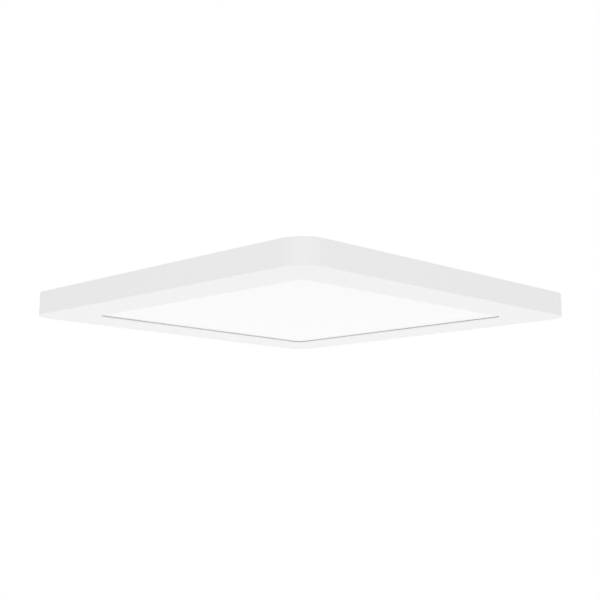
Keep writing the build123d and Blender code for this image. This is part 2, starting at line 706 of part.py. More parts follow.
def driver_board():
    """The circuit board, cut out where the tallest components lie."""
    board = slab(circuit_length, circuit_width, 0, circuit_low, circuit_high, (0, driver_middle))
    low, high = circuit_low - OVERRUN, circuit_high + OVERRUN
    core = (CORE_LENGTH + 2 * PART_CLEARANCE, CORE_WIDTH + 2 * PART_CLEARANCE)
    board -= slab(*core, 0, low, high, at_driver(TRANSFORMER_PLACE))
    can = (capacitor_diameter + 2 * PART_CLEARANCE, CAPACITOR_LENGTH + 2 * PART_CLEARANCE)
    for place in (INPUT_CAPACITOR_PLACE, OUTPUT_CAPACITOR_PLACE):
        board -= slab(*can, 0, low, high, at_driver(place))
    return board


# ------------------------------------------------------------------ driver components
def on_board(size, place):
    """A moulded component that stands on the circuit board."""
    x, y = at_driver(place)
    body = Pos(x, y, circuit_high + size[2] / 2) * Box(*size)
    return chamfer(body.edges().group_by(Axis.Z)[-1], size[2] / 8)


def transformer_core():
    """Two flat E halves with their legs upright."""
    x, y = at_driver(TRANSFORMER_PLACE)
    core = block(ends(x, CORE_LENGTH), ends(y, CORE_WIDTH), (sheet_high, component_high))
    inside = (sheet_high + CORE_PLATE, component_high - CORE_PLATE)
    for side in (-1, 1):
        window = sorted((x + side * CORE_LEG, x + side * (CORE_LENGTH / 2 - CORE_LEG)))
        core -= block(window, ends(y, CORE_WIDTH + 2 * OVERRUN), inside)
    return core


def transformer_winding():
    """The wound ring round the centre leg. Its ends lie on the circuit board."""
    inner = (2 * (CORE_LEG + PART_CLEARANCE), CORE_WIDTH + 2 * PART_CLEARANCE)
    outer = (inner[0] + 2 * (WINDING_WIDTH - PART_CLEARANCE), inner[1] + 2 * WINDING_WIDTH)
    high = component_high - CORE_PLATE - PART_CLEARANCE
    place = at_driver(TRANSFORMER_PLACE)
    ring = slab(*outer, WINDING_WIDTH - PART_CLEARANCE, circuit_high, high, place)
    return ring - slab(*inner, 0, circuit_high - OVERRUN, high + OVERRUN, place)


def capacitor(place):
    """An electrolytic can that lies along Y in its cut-out, on the insulating sheet."""
    x, y = at_driver(place)
    can = Cylinder(capacitor_diameter / 2, CAPACITOR_LENGTH, rotation=(90, 0, 0))
    return Pos(x, y, (sheet_high + component_high) / 2) * can


def filter_choke():
    """A shielded choke, a square block with bevelled corners."""
    body = slab(CHOKE_SIDE, CHOKE_SIDE, 0, circuit_high, component_high, at_driver(CHOKE_PLACE))
    return chamfer(body.edges().filter_by(Axis.Z), CHOKE_SIDE / 6)


def fuse():
    x, y = at_driver(FUSE_PLACE)
    body = Cylinder(FUSE_DIAMETER / 2, FUSE_LENGTH, rotation=(90, 0, 0))
    return Pos(x, y, circuit_high + FUSE_DIAMETER / 2) * body


def varistor():
    high = circuit_high + VARISTOR_THICKNESS
    return disc(VARISTOR_DIAMETER, circuit_high, high, at_driver(VARISTOR_PLACE))


def connector(pitch, lead_diameter):
    """A two-pole push-in connector with its mouths at y = 0 and its bores along +Y."""
    half = pitch / 2 + lead_diameter / 2 + CONNECTOR_WALL
    body = block((-half, half), (0, CONNECTOR_DEPTH), (circuit_high, component_high))
    bore = lead_diameter + 2 * CONNECTOR_BORE_FIT
    depth = (-OVERRUN, CONNECTOR_DEPTH - CONNECTOR_WALL)
    for x in (-pitch / 2, pitch / 2):
        body -= block(ends(x, bore), depth, ends(connector_level, bore))
    return body


def input_connector():
    mouth = driver_middle - circuit_width / 2
    return Pos(INPUT_CONNECTOR_PLACE, mouth, 0) * connector(INPUT_PITCH, MAINS_LEAD_DIAMETER)


def output_connector():
    middle = driver_middle + OUTPUT_CONNECTOR_PLACE
    return Pos(circuit_length / 2, middle, 0) * Rot(0, 0, 90) * connector(OUTPUT_PITCH, LED_LEAD_DIAMETER)


def selector_switch():
    """The switch's body, with a pocket that the knob's foot slides in."""
    place = at_driver(SELECTOR_PLACE)
    body = slab(SELECTOR_LENGTH, SELECTOR_WIDTH, 0, circuit_high, component_high, place)
    pocket = (KNOB_FOOT_LENGTH + 2 * (SELECTOR_TRAVEL + SELECTOR_FIT), KNOB_FOOT_WIDTH + 2 * SELECTOR_FIT)
    return body - slab(*pocket, 0, component_high - SELECTOR_POCKET, component_high + OVERRUN, place)


def selector_knob():
    place = at_driver(SELECTOR_PLACE)
    low = component_high - SELECTOR_POCKET + SELECTOR_FIT
    foot = slab(KNOB_FOOT_LENGTH, KNOB_FOOT_WIDTH, 0, low, component_high - SELECTOR_FIT, place)
    stem = slab(KNOB_LENGTH, KNOB_WIDTH, 0, low, -KNOB_HEADROOM, place)
    stem = chamfer(stem.edges().group_by(Axis.Z)[-1], KNOB_ROUND)
    return foot + stem


# ------------------------------------------------------------------ terminal block
def terminal_block():
    """A screwless insulating strip with a cage through it for each pole, and one fixing ear."""
    body = slab(terminal_length, TERMINAL_DEPTH, TERMINAL_CORNER, plate_high, terminal_high)
    ear_high = plate_high + TERMINAL_EAR_THICKNESS
    ear = (-terminal_length / 2 - TERMINAL_EAR_LENGTH, 0)
    body += block(ear, ends(0, TERMINAL_EAR_WIDTH), (plate_high, ear_high))
    through = TERMINAL_DEPTH + 2 * OVERRUN
    for x in pole_places:
        body -= block(ends(x, CONTACT_WIDTH + 2 * CONTACT_FIT), ends(0, through), (cavity_low, cavity_high))
        for y in (-RELEASE_OFFSET, RELEASE_OFFSET):
            body -= slab(*RELEASE_SLOT, 0, cavity_high - OVERRUN, terminal_high + OVERRUN, (x, y))
    body -= peg(STUD_HOLE, plate_high - OVERRUN, ear_high + OVERRUN, (terminal_stud, 0))
    return Pos(0, terminal_middle, 0) * body


def terminal_contacts():
    """A busbar in each cage, with a web and two folded leaves that hold the conductors."""
    busbar_high = cavity_low + BUSBAR_THICKNESS
    busbar = block(ends(0, CONTACT_LENGTH), ends(0, CONTACT_WIDTH), (cavity_low, busbar_high))
    under = contact_high - SPRING_THICKNESS
    tip = conductor_level + CONDUCTOR_DIAMETER / 2 + CONTACT_FIT
    half = SPRING_THICKNESS / 2
    outline = Polyline(
        (0, cavity_low),
        (half, cavity_low),
        (half, under),
        (SPRING_REACH - SPRING_THICKNESS, under),
        (SPRING_TIP, tip + half),
        (SPRING_TIP + half, tip),
        (SPRING_REACH, contact_high - half),
        (SPRING_REACH - half, contact_high),
        (0, contact_high),
        close=True,
    )
    leaf = extrude(Plane.XZ * make_face(outline), amount=CONTACT_WIDTH / 2, both=True)
    contact = Rot(0, 0, 90) * (busbar + leaf + mirror(leaf, Plane.YZ))
    return group([Pos(x, terminal_middle, 0) * contact for x in pole_places])


# ------------------------------------------------------------------ leads
def mains_lead(points, radii):
    """A lead whose first run ends as bare conductor on a busbar."""
    x, y, z = points[0]
    tip = Plane(origin=(x, y - STRIP_LENGTH, z), z_dir=(0, 1, 0))
    section = tip * RegularPolygon(CONDUCTOR_DIAMETER / 2, LEAD_SIDES)
    return tube(points, radii, MAINS_LEAD_DIAMETER) + extrude(section, amount=STRIP_LENGTH + OVERRUN)


def driver_lead(pole, bore):
    """From a terminal, under the crossbar, to one bore of the driver's input connector."""
    start = terminal_middle + CONTACT_LENGTH / 2 + PART_CLEARANCE
    end = driver_middle - circuit_width / 2 + CONNECTOR_DEPTH - 2 * CONNECTOR_WALL
    x = INPUT_CONNECTOR_PLACE + bore * INPUT_PITCH / 2
    points = [
        (pole_places[pole], start, conductor_level),
        (pole_places[pole], -BRACKET_WIDTH / 2 - CROSSING_MARGIN, conductor_level),
        (x, BRACKET_WIDTH / 2, conductor_level),
        (x, driver_front - LEVEL_RUN, connector_level),
        (x, end, connector_level),
    ]
    return mains_lead(points, DRIVER_LEAD_RADII)


def earth_lead():
    """From the right-hand terminal to the tag on the earth stud."""
    start = terminal_middle + CONTACT_LENGTH / 2 + PART_CLEARANCE
    level = plate_high + BARREL_WALL + BARREL_FIT + MAINS_LEAD_DIAMETER / 2
    middle = (pole_places[-1] + EARTH_STUD_OFFSET) / 2
    points = [
        (pole_places[-1], start, conductor_level),
        (pole_places[-1], start + EARTH_RUN, conductor_level),
        (middle, start + EARTH_LOOP, (conductor_level + level) / 2),
        (EARTH_STUD_OFFSET, start + EARTH_RUN, level),
        (EARTH_STUD_OFFSET, terminal_middle + TAG_REACH + BARREL_LENGTH / 2, level),
    ]
    return mains_lead(points, EARTH_LEAD_RADII)


def earth_tag():
    """A ring tag with a square crimped barrel."""
    high = plate_high + TAG_THICKNESS
    barrel_end = TAG_REACH + BARREL_LENGTH
    bore = MAINS_LEAD_DIAMETER + 2 * BARREL_FIT
    level = plate_high + BARREL_WALL + bore / 2
    outside = bore + 2 * BARREL_WALL
    tag = disc(TAG_DIAMETER, plate_high, high)
    tag += block(ends(0, TAG_NECK), (0, barrel_end), (plate_high, high))
    tag += block(ends(0, outside), (TAG_REACH, barrel_end), ends(level, outside))
    tag -= block(ends(0, bore), (TAG_REACH - OVERRUN, barrel_end + OVERRUN), ends(level, bore))
    tag -= peg(STUD_HOLE, plate_high - OVERRUN, high + OVERRUN)
    return Pos(EARTH_STUD_OFFSET, terminal_middle, 0) * tag


def led_lead(side):
    """From the rear board's right end, up through the grommet and across to the driver. The lower
    lead at the board (side -1) turns up further out, and crosses above the other one."""
    shift = LED_LEAD_PITCH / 2
    beside = led_board_face - LED_LEAD_DIAMETER / 2
    level = led_level + side * shift
    x, y = [value - side * shift / 2 ** 0.5 for value in grommet_place]
    over = led_lead_level + (1 - side) * shift
    out = driver_middle + OUTPUT_CONNECTOR_PLACE - side * OUTPUT_PITCH / 2
    points = [
        (led_board_length / 2 - SOLDER_INSET, beside, level),
        (rail_end + RAIL_MARGIN, beside, level),
        (x, y, level),
        (x, y, over),
        (DRIVER_LENGTH / 2 + LED_LEAD_TURN[0], driver_middle + LED_LEAD_TURN[1], over),
        (DRIVER_LENGTH / 2 + LED_LEAD_RUN, out, connector_level),
        (circuit_length / 2 - CONNECTOR_DEPTH + 2 * CONNECTOR_WALL, out, connector_level),
    ]
    return tube(points, LED_LEAD_RADII, LED_LEAD_DIAMETER)


# ------------------------------------------------------------------ all nodes
def nodes():
    pieces = {
        "mounting_bracket": mounting_bracket(),
        "ground_screw": ground_screw(),
        "bezel_frame": bezel_frame(),
        "diffuser": diffuser(),
        "light_guide": light_guide(),
        "reflector": reflector(),
        "foam_pad": foam_pad(),
        "thermal_tapes": thermal_tapes(),
        "guide_pads": guide_pads(),
        "corner_jumpers": corner_jumpers(),
        "back_plate": back_plate(),
        "back_plate_screws": back_plate_screws(),
        "weld_studs": weld_studs(),
        "stud_nuts": stud_nuts(),
        "spring_clip_right": spring_clip(),
        "spring_clip_left": Rot(0, 0, 180) * spring_clip(),
        "driver_tray": driver_tray(),
        "driver_cover": driver_cover(),
        "insulating_sheet": insulating_sheet(),
        "driver_board": driver_board(),
        "transformer_core": transformer_core(),
        "transformer_winding": transformer_winding(),
        "input_capacitor": capacitor(INPUT_CAPACITOR_PLACE),
        "output_capacitor": capacitor(OUTPUT_CAPACITOR_PLACE),
        "filter_choke": filter_choke(),
        "bridge_rectifier": on_board(RECTIFIER_SIZE, RECTIFIER_PLACE),
        "control_chip": on_board(CHIP_SIZE, CHIP_PLACE),
        "power_transistor": on_board(TRANSISTOR_SIZE, TRANSISTOR_PLACE),
        "fuse": fuse(),
        "varistor": varistor(),
        "input_connector": input_connector(),
        "output_connector": output_connector(),
        "selector_switch": selector_switch(),
        "selector_knob": selector_knob(),
        "terminal_block": terminal_block(),
        "terminal_contacts": terminal_contacts(),
        "live_lead": driver_lead(0, -1),
        "neutral_lead": driver_lead(1, 1),
        "earth_lead": earth_lead(),
        "earth_tag": earth_tag(),
        "led_lead_positive": led_lead(1),
        "led_lead_negative": led_lead(-1),
        "lead_grommet": lead_grommet(),
    }
    for side, turn in SIDES.items():
        pieces[f"led_board_{side}"] = Rot(0, 0, turn) * led_board()
        pieces[f"led_row_{side}"] = Rot(0, 0, turn) * led_row()
    return pieces


os.makedirs("parts", exist_ok=True)
for name, piece in nodes().items():
    export_step(piece, f"parts/{name}.step")
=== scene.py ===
import json
import math

import bmesh
import bpy
from mathutils import Matrix, Vector

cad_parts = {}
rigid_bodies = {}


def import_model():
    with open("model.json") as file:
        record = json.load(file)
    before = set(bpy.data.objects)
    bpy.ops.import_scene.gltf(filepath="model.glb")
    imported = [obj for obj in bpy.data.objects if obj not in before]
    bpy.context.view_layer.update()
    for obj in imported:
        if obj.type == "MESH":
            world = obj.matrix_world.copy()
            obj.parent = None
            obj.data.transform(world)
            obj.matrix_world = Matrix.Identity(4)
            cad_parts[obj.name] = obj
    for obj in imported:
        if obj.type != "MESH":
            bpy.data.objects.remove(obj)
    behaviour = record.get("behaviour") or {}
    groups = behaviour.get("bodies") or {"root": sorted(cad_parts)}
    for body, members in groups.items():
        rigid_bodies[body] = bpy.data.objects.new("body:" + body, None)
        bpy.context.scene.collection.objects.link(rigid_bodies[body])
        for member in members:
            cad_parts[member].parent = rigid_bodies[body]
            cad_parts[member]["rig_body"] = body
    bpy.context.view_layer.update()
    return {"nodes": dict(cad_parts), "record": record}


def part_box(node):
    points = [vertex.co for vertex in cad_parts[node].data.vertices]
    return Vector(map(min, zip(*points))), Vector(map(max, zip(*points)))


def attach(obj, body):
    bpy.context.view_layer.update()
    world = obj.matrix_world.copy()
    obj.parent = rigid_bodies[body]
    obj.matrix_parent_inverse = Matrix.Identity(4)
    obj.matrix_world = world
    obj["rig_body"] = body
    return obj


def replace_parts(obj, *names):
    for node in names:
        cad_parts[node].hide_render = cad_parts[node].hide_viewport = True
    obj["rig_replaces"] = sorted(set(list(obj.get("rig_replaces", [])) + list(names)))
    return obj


# Square flush mount ceiling light, seen from below. The frame is in metres with the ceiling at
# z = 0. Shapes below are worked out in millimetres and scaled when their mesh is made.

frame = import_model()

MM = 0.001

# ---- view and light
CAMERA_PLACE = (-0.60245, -0.59551, -0.14841)
CAMERA_AIM = (0.00011, 0.00096, -0.00434)
CAMERA_ROLL = math.radians(-0.068)
CAMERA_LENS = 65.62  # on a sensor 36 mm wide

AMBIENT = 0.915
FLOOR_DROP = 1.6  # metres under the ceiling
FLOOR_RADIUS = 12.0
FLOOR_COLOUR = 0.8
FLOOR_GLOW = 0.3  # added for rays that see the floor, so that it is white

# Soft lamps that all face the fixture: name, place, size, watts
LAMPS = [
    ("lamp_front", (-1.5, -1.5, -0.5), 1.2, 5.2),
    ("lamp_below", (0.3, 0.3, -1.2), 1.6, 4.6),
    ("lamp_above", (0.6, 0.6, 1.8), 1.6, 4.0),
]

# ---- limits for meshes
WELD = 1e-7  # metres within which two points are one
SMOOTH_LIMIT = math.radians(40)  # up to this angle an edge is shaded smooth
ROUND_LIMIT = math.radians(30)  # over this angle an edge is rounded

# ---- steps
ARC_STEPS = 24  # along a quarter turn of the body's corners
EDGE_STEPS = 3  # round the edge of a plate
PROFILE_STEPS = 4  # round a corner of the casting's section
BEND_STEPS = 8  # along a bend of sheet metal
BEAD_STEPS = 8  # up the flank of a bead
TURN_STEPS = 36  # round a fastener
THREAD_STEPS = 6  # along one pitch

# ---- sizes that the frame doesn't give, in mm
BODY_RADIUS = 19.0
WALL = 1.8
BEZEL_EDGE = 0.6  # round between the side walls and the bezel
RIM_EDGE = 0.3
BEZEL_WIDTH = 37.5
BEZEL_THICKNESS = 1.8
OPENING_RADIUS = 7.0
LIP_EDGE = 0.3
STEP_EDGE = 0.1
POCKET_GAP = 0.25
RELIEF_DEPTH = 0.3  # step behind the lip's rim, a shadow gap round the diffuser
RELIEF_WIDTH = 2.5

# The casting's inner features
ROOT = 0.5  # how far a feature is sunk into what carries it
RAIL_MARGIN = 2.0
RAIL_THICKNESS = 2.0
CAST_EDGE = 0.3
BOSS_SIDE = 7.0
BOSS_CORNER = 1.0
PILOT_DIAMETER = 2.5
PILOT_FLOOR = 0.4
RIB_THICKNESS = 1.6
RIB_COUNT = 7
RIB_SPACING = 30.0
RIB_GAP = 0.6
RIB_STEP = 1.5
RIB_TOP_WIDTH = 2.0
RIB_HEADROOM = 3.0

# Back plate and fasteners
PLATE_EDGE = 8.0  # from the line of the screws to the rim
PLATE_RADIUS = 12.0
PLATE_HOLE = 3.4
SHEET_EDGE = 0.12  # on sheared sheet metal
BEAD_LINE = 110.486
BEAD_LENGTH = 150.97
BEAD_WIDTH = 8.0
BEAD_HEIGHT = 1.2
BEAD_FLARE = 0.35  # how far the bead's flank runs out at its foot
BEAD_DRAW = 1.15  # and from there in to the top
BEAD_SINK = 0.05  # how far its foot lies in the sheet
SCREW_HEAD = (5.5, 1.8)
SCREW_SHANK = (2.4, 4.2)
SCREW_PITCH = 0.8
STUD = (3.0, 5.0)
STUD_PITCH = 0.5
STUD_HOLE = 3.3
NUT = (5.5, 2.4)
NUT_BORE = 3.1
GROUND_HEAD = (7.0, 2.2)
GROUND_SHANK = (3.9, 1.5)
GROUND_PLACE = 23.0  # along the crossbar
GROUND_PITCH = 0.8
THREAD_DEPTH = 0.6  # of a pitch
HEX_END = 0.48  # radius of a hexagon's flat end, as a share of its width
RECESS_DEPTH = 0.55  # of the cross in a screw's head, as a share of the head's height
RECESS_REACH = 0.27  # from its middle to an arm's end, as a share of the head's width
RECESS_HALF = 0.07  # half an arm's width, as the same share

# The flat sheets of the optical stack: corner radius, rounding of the edges, steps along a corner
SHEETS = {
    "diffuser": (13.0, 0.2, ARC_STEPS),
    "light_guide": (0.4, 0.15, 4),
    "reflector": (0.8, 0.05, 4),
    "foam_pad": (1.5, 0.3, 4),
}

# The light sources
LED_LENGTH = 4.0
LED_COUNT = 22
LED_PITCH = 9.0
LED_RIM = 0.22  # white rim round a package's window
LED_WELL = 0.12  # how deep the window lies
LED_CORNER = 0.12
LAND = (2.0, 1.2, 0.04)  # a solder land on a board

# Mounting bracket and clips
BRACKET_THICKNESS = 1.5
BRACKET_BEND = 1.0
LEG_CORNER = 3.0
FLANGE_DEPTH = 4.0
FLANGE_LENGTH = 110.0
BEND_RELIEF = 1.5
SLOT_SPACING = 80.0
SLOT = (15.0, 4.8)
WIRE_OPENING = (26.0, 18.0, 4.0)
WINDOW = (16.0, 2.9, 3.0)  # width, height, and depth under the ceiling
CLIP_THICKNESS = 0.5
CLIP_WIDTH = 12.0
CLIP_BENDS = [0.8, 0.8, 0.6]
CLIP_EDGE = 0.1
CLIP_TOE = 5.0  # from the toe to the stud
CLIP_KNEE = (13.0, 1.8)  # from the toe, and above the plate
CLIP_BARB = (19.072, 6.2)
LEAD_IN = (4.1, 2.7)

# Driver housing and terminal block
TRAY_THICKNESS = 1.2
EAR_LENGTH = 8.0
DRIVER_CORNER = 3.0
COVER_WALL = 1.2
COVER_EDGE = 0.8
SNAP_PLACE = 34.0
SNAP_WINDOW = (6.4, 0.8, 2.2)  # width, and its heights above the cover's foot
MAINS_NOTCH = ((-47.35, -40.65), -3.8)  # its run along the wall, and its top
LED_NOTCH = ((68.1, 71.9), -4.25)
SELECTOR_SLOT = (8.5, 2.5)
SELECTOR_TRAVEL = 2.5
MARK = (0.5, 1.5, 0.12)
MARK_OFFSET = 2.8
FUSE_CAP = 2.0
WINDING_WIDTH = 4.4
WINDING_TURNS = 8
WINDING_GROOVE = 0.12  # between two turns
TERMINAL_EAR_LENGTH = 7.5
TERMINAL_EAR_THICKNESS = 2.0
TAG_THICKNESS = 0.8
GROMMET_BORE = 3.4
GROMMET_NECK = 5.4
GROMMET_FLANGE = 8.0
GROMMET_FLANGE_THICKNESS = 0.7

# Leads. Each route runs from the terminal block or the light sources to the lead's other end
MAINS_LEAD_DIAMETER = 1.9
CONDUCTOR_DIAMETER = 1.2
STRIP_LENGTH = 4.0
LED_LEAD_DIAMETER = 1.0
MAINS_ROUTES = {
    "live_lead": [(-8.5, -32.3, -8.2), (-8.5, -18, -8.2), (-19.1, -8.4, -8.2), (-39, 9.6, -8.2),
                  (-46, 16, -8.2), (-46, 25, -5.15), (-46, 37.2, -5.15)],
    "neutral_lead": [(0, -32.3, -8.2), (0, -18, -8.2), (-11.1, -9, -8.2), (-34.6, 10, -8.2),
                     (-42, 16, -8.2), (-42, 25, -5.15), (-42, 37.2, -5.15)],
    "earth_lead": [(8.5, -32.3, -8.2), (8.5, -21.3, -8.2), (21.25, -17.3, -8.75), (34, -21.3, -9.3),
                   (34, -30.5, -9.3)],
}
LED_ROUTES = {
    "led_lead_positive": [(100.5, 118.4, -13.25), (108, 118.4, -13.25), (113, 122.5, -13.25),
                          (113, 122.5, -8.8), (111, 118.3, -8.8), (100, 94, -8.8), (78, 69, -5.15),
                          (54.8, 69, -5.15)],
    "led_lead_negative": [(100.5, 118.4, -14.65), (108, 118.4, -14.65), (114, 123.5, -14.65),
                          (114, 123.5, -7.4), (111, 117.3, -7.4), (100, 94, -7.4), (78, 71, -5.15),
                          (54.8, 71, -5.15)],
}

# The plastic round each kind of conductor
WIRES = {
    "black_wire": (0.02, 0.02, 0.022),
    "white_wire": (0.82, 0.82, 0.8),
    "green_wire": (0.04, 0.3, 0.08),
    "red_wire": (0.5, 0.02, 0.015),
}

# Rounding of the edges of pieces that keep the CAD's form
SMALL_EDGE = 0.12
EDGES = {"terminal_block": 0.25, "driver_tray": 0.2, "transformer_core": 0.25, "filter_choke": 0.3,
         "guide_pads": 0.15, "terminal_contacts": 0.06, "corner_jumpers": 0.08, "thermal_tapes": 0.04,
         "insulating_sheet": 0.05}


def spans(node):
    """A node's lowest and highest place along each axis, in mm."""
    return [(low / MM, high / MM) for low, high in zip(*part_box(node))]


def span(node, axis):
    return spans(node)[axis]


def centre(node):
    return [(low + high) / 2 for low, high in spans(node)]


def halves(node):
    return [(high - low) / 2 for low, high in spans(node)]


def about(middle, size):
    """Where something of a given size starts and ends."""
    return middle - size / 2, middle + size / 2


# ---- rings of points
def arc_ring(half_x, half_y, radius, z, middle=(0, 0), steps=ARC_STEPS):
    """The points of a rounded rectangle at one height, anticlockwise."""
    points = []
    for corner in range(4):
        centre_x = middle[0] + (half_x - radius) * (1 if corner in (0, 3) else -1)
        centre_y = middle[1] + (half_y - radius) * (1 if corner in (0, 1) else -1)
        for step in range(steps + 1):
            angle = math.pi / 2 * (corner + step / steps)
            points.append((centre_x + radius * math.cos(angle), centre_y + radius * math.sin(angle), z))
    return points


def turn_ring(radius, height):
    """Points round the Z axis. The radius and the height are numbers or functions of the angle."""
    points = []
    for i in range(TURN_STEPS):
        angle = 2 * math.pi * i / TURN_STEPS
        r = radius(angle) if callable(radius) else radius
        z = height(angle) if callable(height) else height
        points.append((r * math.cos(angle), r * math.sin(angle), z))
    return points


def slab_rings(half_x, half_y, radius, low, high, edge, middle=(0, 0), steps=ARC_STEPS, foot=None):
    """The rings of a rounded plate whose edges are rounded too, the lower one by foot where given."""
    rings = []
    for size, sign, level in ((edge if foot is None else foot, 1, low), (edge, -1, high)):
        arc = []
        for step in range(EDGE_STEPS + 1):
            angle = math.pi / 2 * step / EDGE_STEPS
            inset = size * (1 - math.sin(angle))
            z = level + sign * size * (1 - math.cos(angle))
            arc.append(arc_ring(half_x - inset, half_y - inset, max(radius - inset, 0.01), z, middle, steps))
        rings += arc if sign > 0 else arc[::-1]
    return rings


def edge_rounds(nodes):
    """Rounds the right-angled corners of a closed profile. Each node is (half side, corner radius,
    height, round), and gives (half side, corner radius, height) points."""
    points = []
    corners = [Vector((half, z)) for half, _, z, _ in nodes]
    for i, (half, radius, _, edge) in enumerate(nodes):
        here = corners[i]
        arrive = (here - corners[i - 1]).normalized()
        leave = (corners[(i + 1) % len(nodes)] - here).normalized()
        centre = here + (leave - arrive) * edge
        for step in range(PROFILE_STEPS + 1):
            angle = math.pi / 2 * step / PROFILE_STEPS
            place = centre + (arrive * math.sin(angle) - leave * math.cos(angle)) * edge
            points.append((place.x, radius + place.x - half, place.y))
    return points


def hexagon(width):
    """A hexagon's outline, as its radius at an angle."""
    return lambda angle: width / 2 / math.cos(angle % (math.pi / 3) - math.pi / 6)


def cross(reach, half_width):
    """A cross recess's outline, as its radius at an angle."""
    def radius(angle):
        fold = abs((angle + math.pi / 4) % (math.pi / 2) - math.pi / 4)
        return min(reach / math.cos(fold), half_width / max(math.sin(fold), 1e-6))
    return radius


def hex_rings(width, low, high, both=False):
    """A hexagon with its corners turned off at the top, and at the bottom too on a nut."""
    outline = hexagon(width)
    flat = width * HEX_END

    def fall(angle):
        return (outline(angle) - flat) * math.tan(math.radians(30))

    if both:
        rings = [turn_ring(flat, low), turn_ring(outline, lambda angle: low + fall(angle))]
    else:
        rings = [turn_ring(outline, low)]
    return rings + [turn_ring(outline, lambda angle: high - fall(angle)), turn_ring(flat, high)]


def thread_rings(diameter, pitch, low, high):
    """A thread between two heights, with its crests at the diameter."""
    depth = THREAD_DEPTH * pitch
    count = round((high - low) / pitch * THREAD_STEPS)
    rings = []
    for i in range(count + 1):
        z = low + (high - low) * i / count
        phase = 2 * math.pi * z / pitch
        rings.append(turn_ring(lambda angle: (diameter - depth * (1 + math.cos(phase - angle))) / 2, z))
    return rings


def screw_rings(head, shank, pitch):
    """A screw with its head's underside at z = 0, from its tip up to the bottom of its cross recess."""
    radius, length = shank[0] / 2, shank[1]
    recess = cross(head[0] * RECESS_REACH, head[0] * RECESS_HALF)
    rings = [turn_ring(radius * 0.5, -length)]
    rings += thread_rings(shank[0], pitch, -length + radius * 0.3, -pitch / 3)
    rings += [turn_ring(radius, -pitch / 4), turn_ring(radius, 0)]
    rings += hex_rings(head[0], 0, head[1])
    rings.append(turn_ring(recess, head[1]))
    rings.append(turn_ring(lambda angle: 0.75 * recess(angle), head[1] * (1 - RECESS_DEPTH)))
    return rings


def moved(rings, x=0.0, y=0.0, z=0.0, turn=0.0, matrix=None):
    """Rings turned about Z, in degrees, and moved, or placed by a matrix in mm."""
    if matrix is None:
        matrix = Matrix.Translation((x, y, z)) @ Matrix.Rotation(math.radians(turn), 4, "Z")
    return [[matrix @ Vector(point) for point in ring] for ring in rings]


# ---- mesh helpers
def add_skin(mesh, rings, closed=False, material=0, cap=None):
    """Joins rings of equally many points into a skin, capped at both ends or closed on itself. The
    last cap may have a material of its own."""
    rows = [[mesh.verts.new(Vector(point) * MM) for point in ring] for ring in rings]
    pairs = list(zip(rows, rows[1:]))
    if closed:
        pairs.append((rows[-1], rows[0]))
    faces = []
    for low, high in pairs:
        for i in range(len(low)):
            j = (i + 1) % len(low)
            faces.append(mesh.faces.new((low[i], low[j], high[j], high[i])))
    if not closed:
        faces.append(mesh.faces.new(list(reversed(rows[0]))))
        faces.append(mesh.faces.new(rows[-1]))
    for face in faces:
        face.material_index = material
    if cap is not None:
        faces[-1].material_index = cap
    return faces


def skin_mesh(rings, **options):
    mesh = bmesh.new()
    add_skin(mesh, rings, **options)
    return mesh


def add_sheet(mesh, rows):
    """Joins rows of equally many points into an open sheet."""
    grid = [[mesh.verts.new(Vector(point) * MM) for point in row] for row in rows]
    for low, high in zip(grid, grid[1:]):
        for i in range(len(low) - 1):
            mesh.faces.new((low[i], low[i + 1], high[i + 1], high[i]))


def add_bore(mesh, radius, levels, x=0.0, y=0.0):
    """An upright round cutter between two heights."""
    add_skin(mesh, moved([turn_ring(radius, z) for z in levels], x, y))


def bevel(mesh, edges, width, segments=2, clamp=True):
    bmesh.ops.bevel(mesh, geom=edges, offset=width * MM, offset_type="OFFSET", segments=segments,
                    profile=0.5, affect="EDGES", clamp_overlap=clamp, material=-1)


def add_prism(mesh, outline, low, high, matrix=Matrix(), edge=0.0, material=0):
    """An outline raised from one height to another and placed by a matrix, with rounded edges."""
    rings = [[matrix @ Vector((u, v, w)) for u, v in outline] for w in (low, high)]
    faces = add_skin(mesh, rings, material=material)
    if edge:
        bevel(mesh, list(dict.fromkeys(e for face in faces for e in face.edges)), edge)


def add_block(mesh, x, y, z, matrix=Matrix(), edge=0.0, material=0):
    """A box between two values along each axis."""
    outline = [(x[0], y[0]), (x[1], y[0]), (x[1], y[1]), (x[0], y[1])]
    add_prism(mesh, outline, z[0], z[1], matrix, edge, material)


def turned(degrees):
    return Matrix.Rotation(math.radians(degrees), 4, "Z")


def lying(x, y, z):
    """Lays what is turned about the Z axis along +Y, from a point in mm."""
    return Matrix.Translation((x, y, z)) @ Matrix.Rotation(-math.pi / 2, 4, "X")


# Puts an XY outline in the XZ plane
STANDING = Matrix(((1, 0, 0, 0), (0, 0, 1, 0), (0, 1, 0, 0), (0, 0, 0, 1)))
SIDES = {"rear": 0, "left": 90, "front": 180, "right": 270}


def new_object(name, data):
    piece = bpy.data.objects.new(name, data)
    bpy.context.scene.collection.objects.link(piece)
    return piece


def raw_object(name, mesh, materials=()):
    """Turns a bmesh into an object with welded points and outward faces."""
    bmesh.ops.remove_doubles(mesh, verts=mesh.verts, dist=WELD)
    bmesh.ops.recalc_face_normals(mesh, faces=mesh.faces)
    data = bpy.data.meshes.new(name)
    mesh.to_mesh(data)
    mesh.free()
    for material in materials:
        data.materials.append(material)
    return new_object(name, data)


def rework(piece, change):
    """Runs a function on a piece's mesh."""
    mesh = bmesh.new()
    mesh.from_mesh(piece.data)
    change(mesh)
    mesh.to_mesh(piece.data)
    mesh.free()


def shade(piece):
    """Smooth shading up to an angle, with flat faces kept flat."""
    for polygon in piece.data.polygons:
        polygon.use_smooth = True
    piece.data.set_sharp_from_angle(angle=SMOOTH_LIMIT)
    piece.modifiers.new("flat faces", "WEIGHTED_NORMAL").keep_sharp = True
    return piece


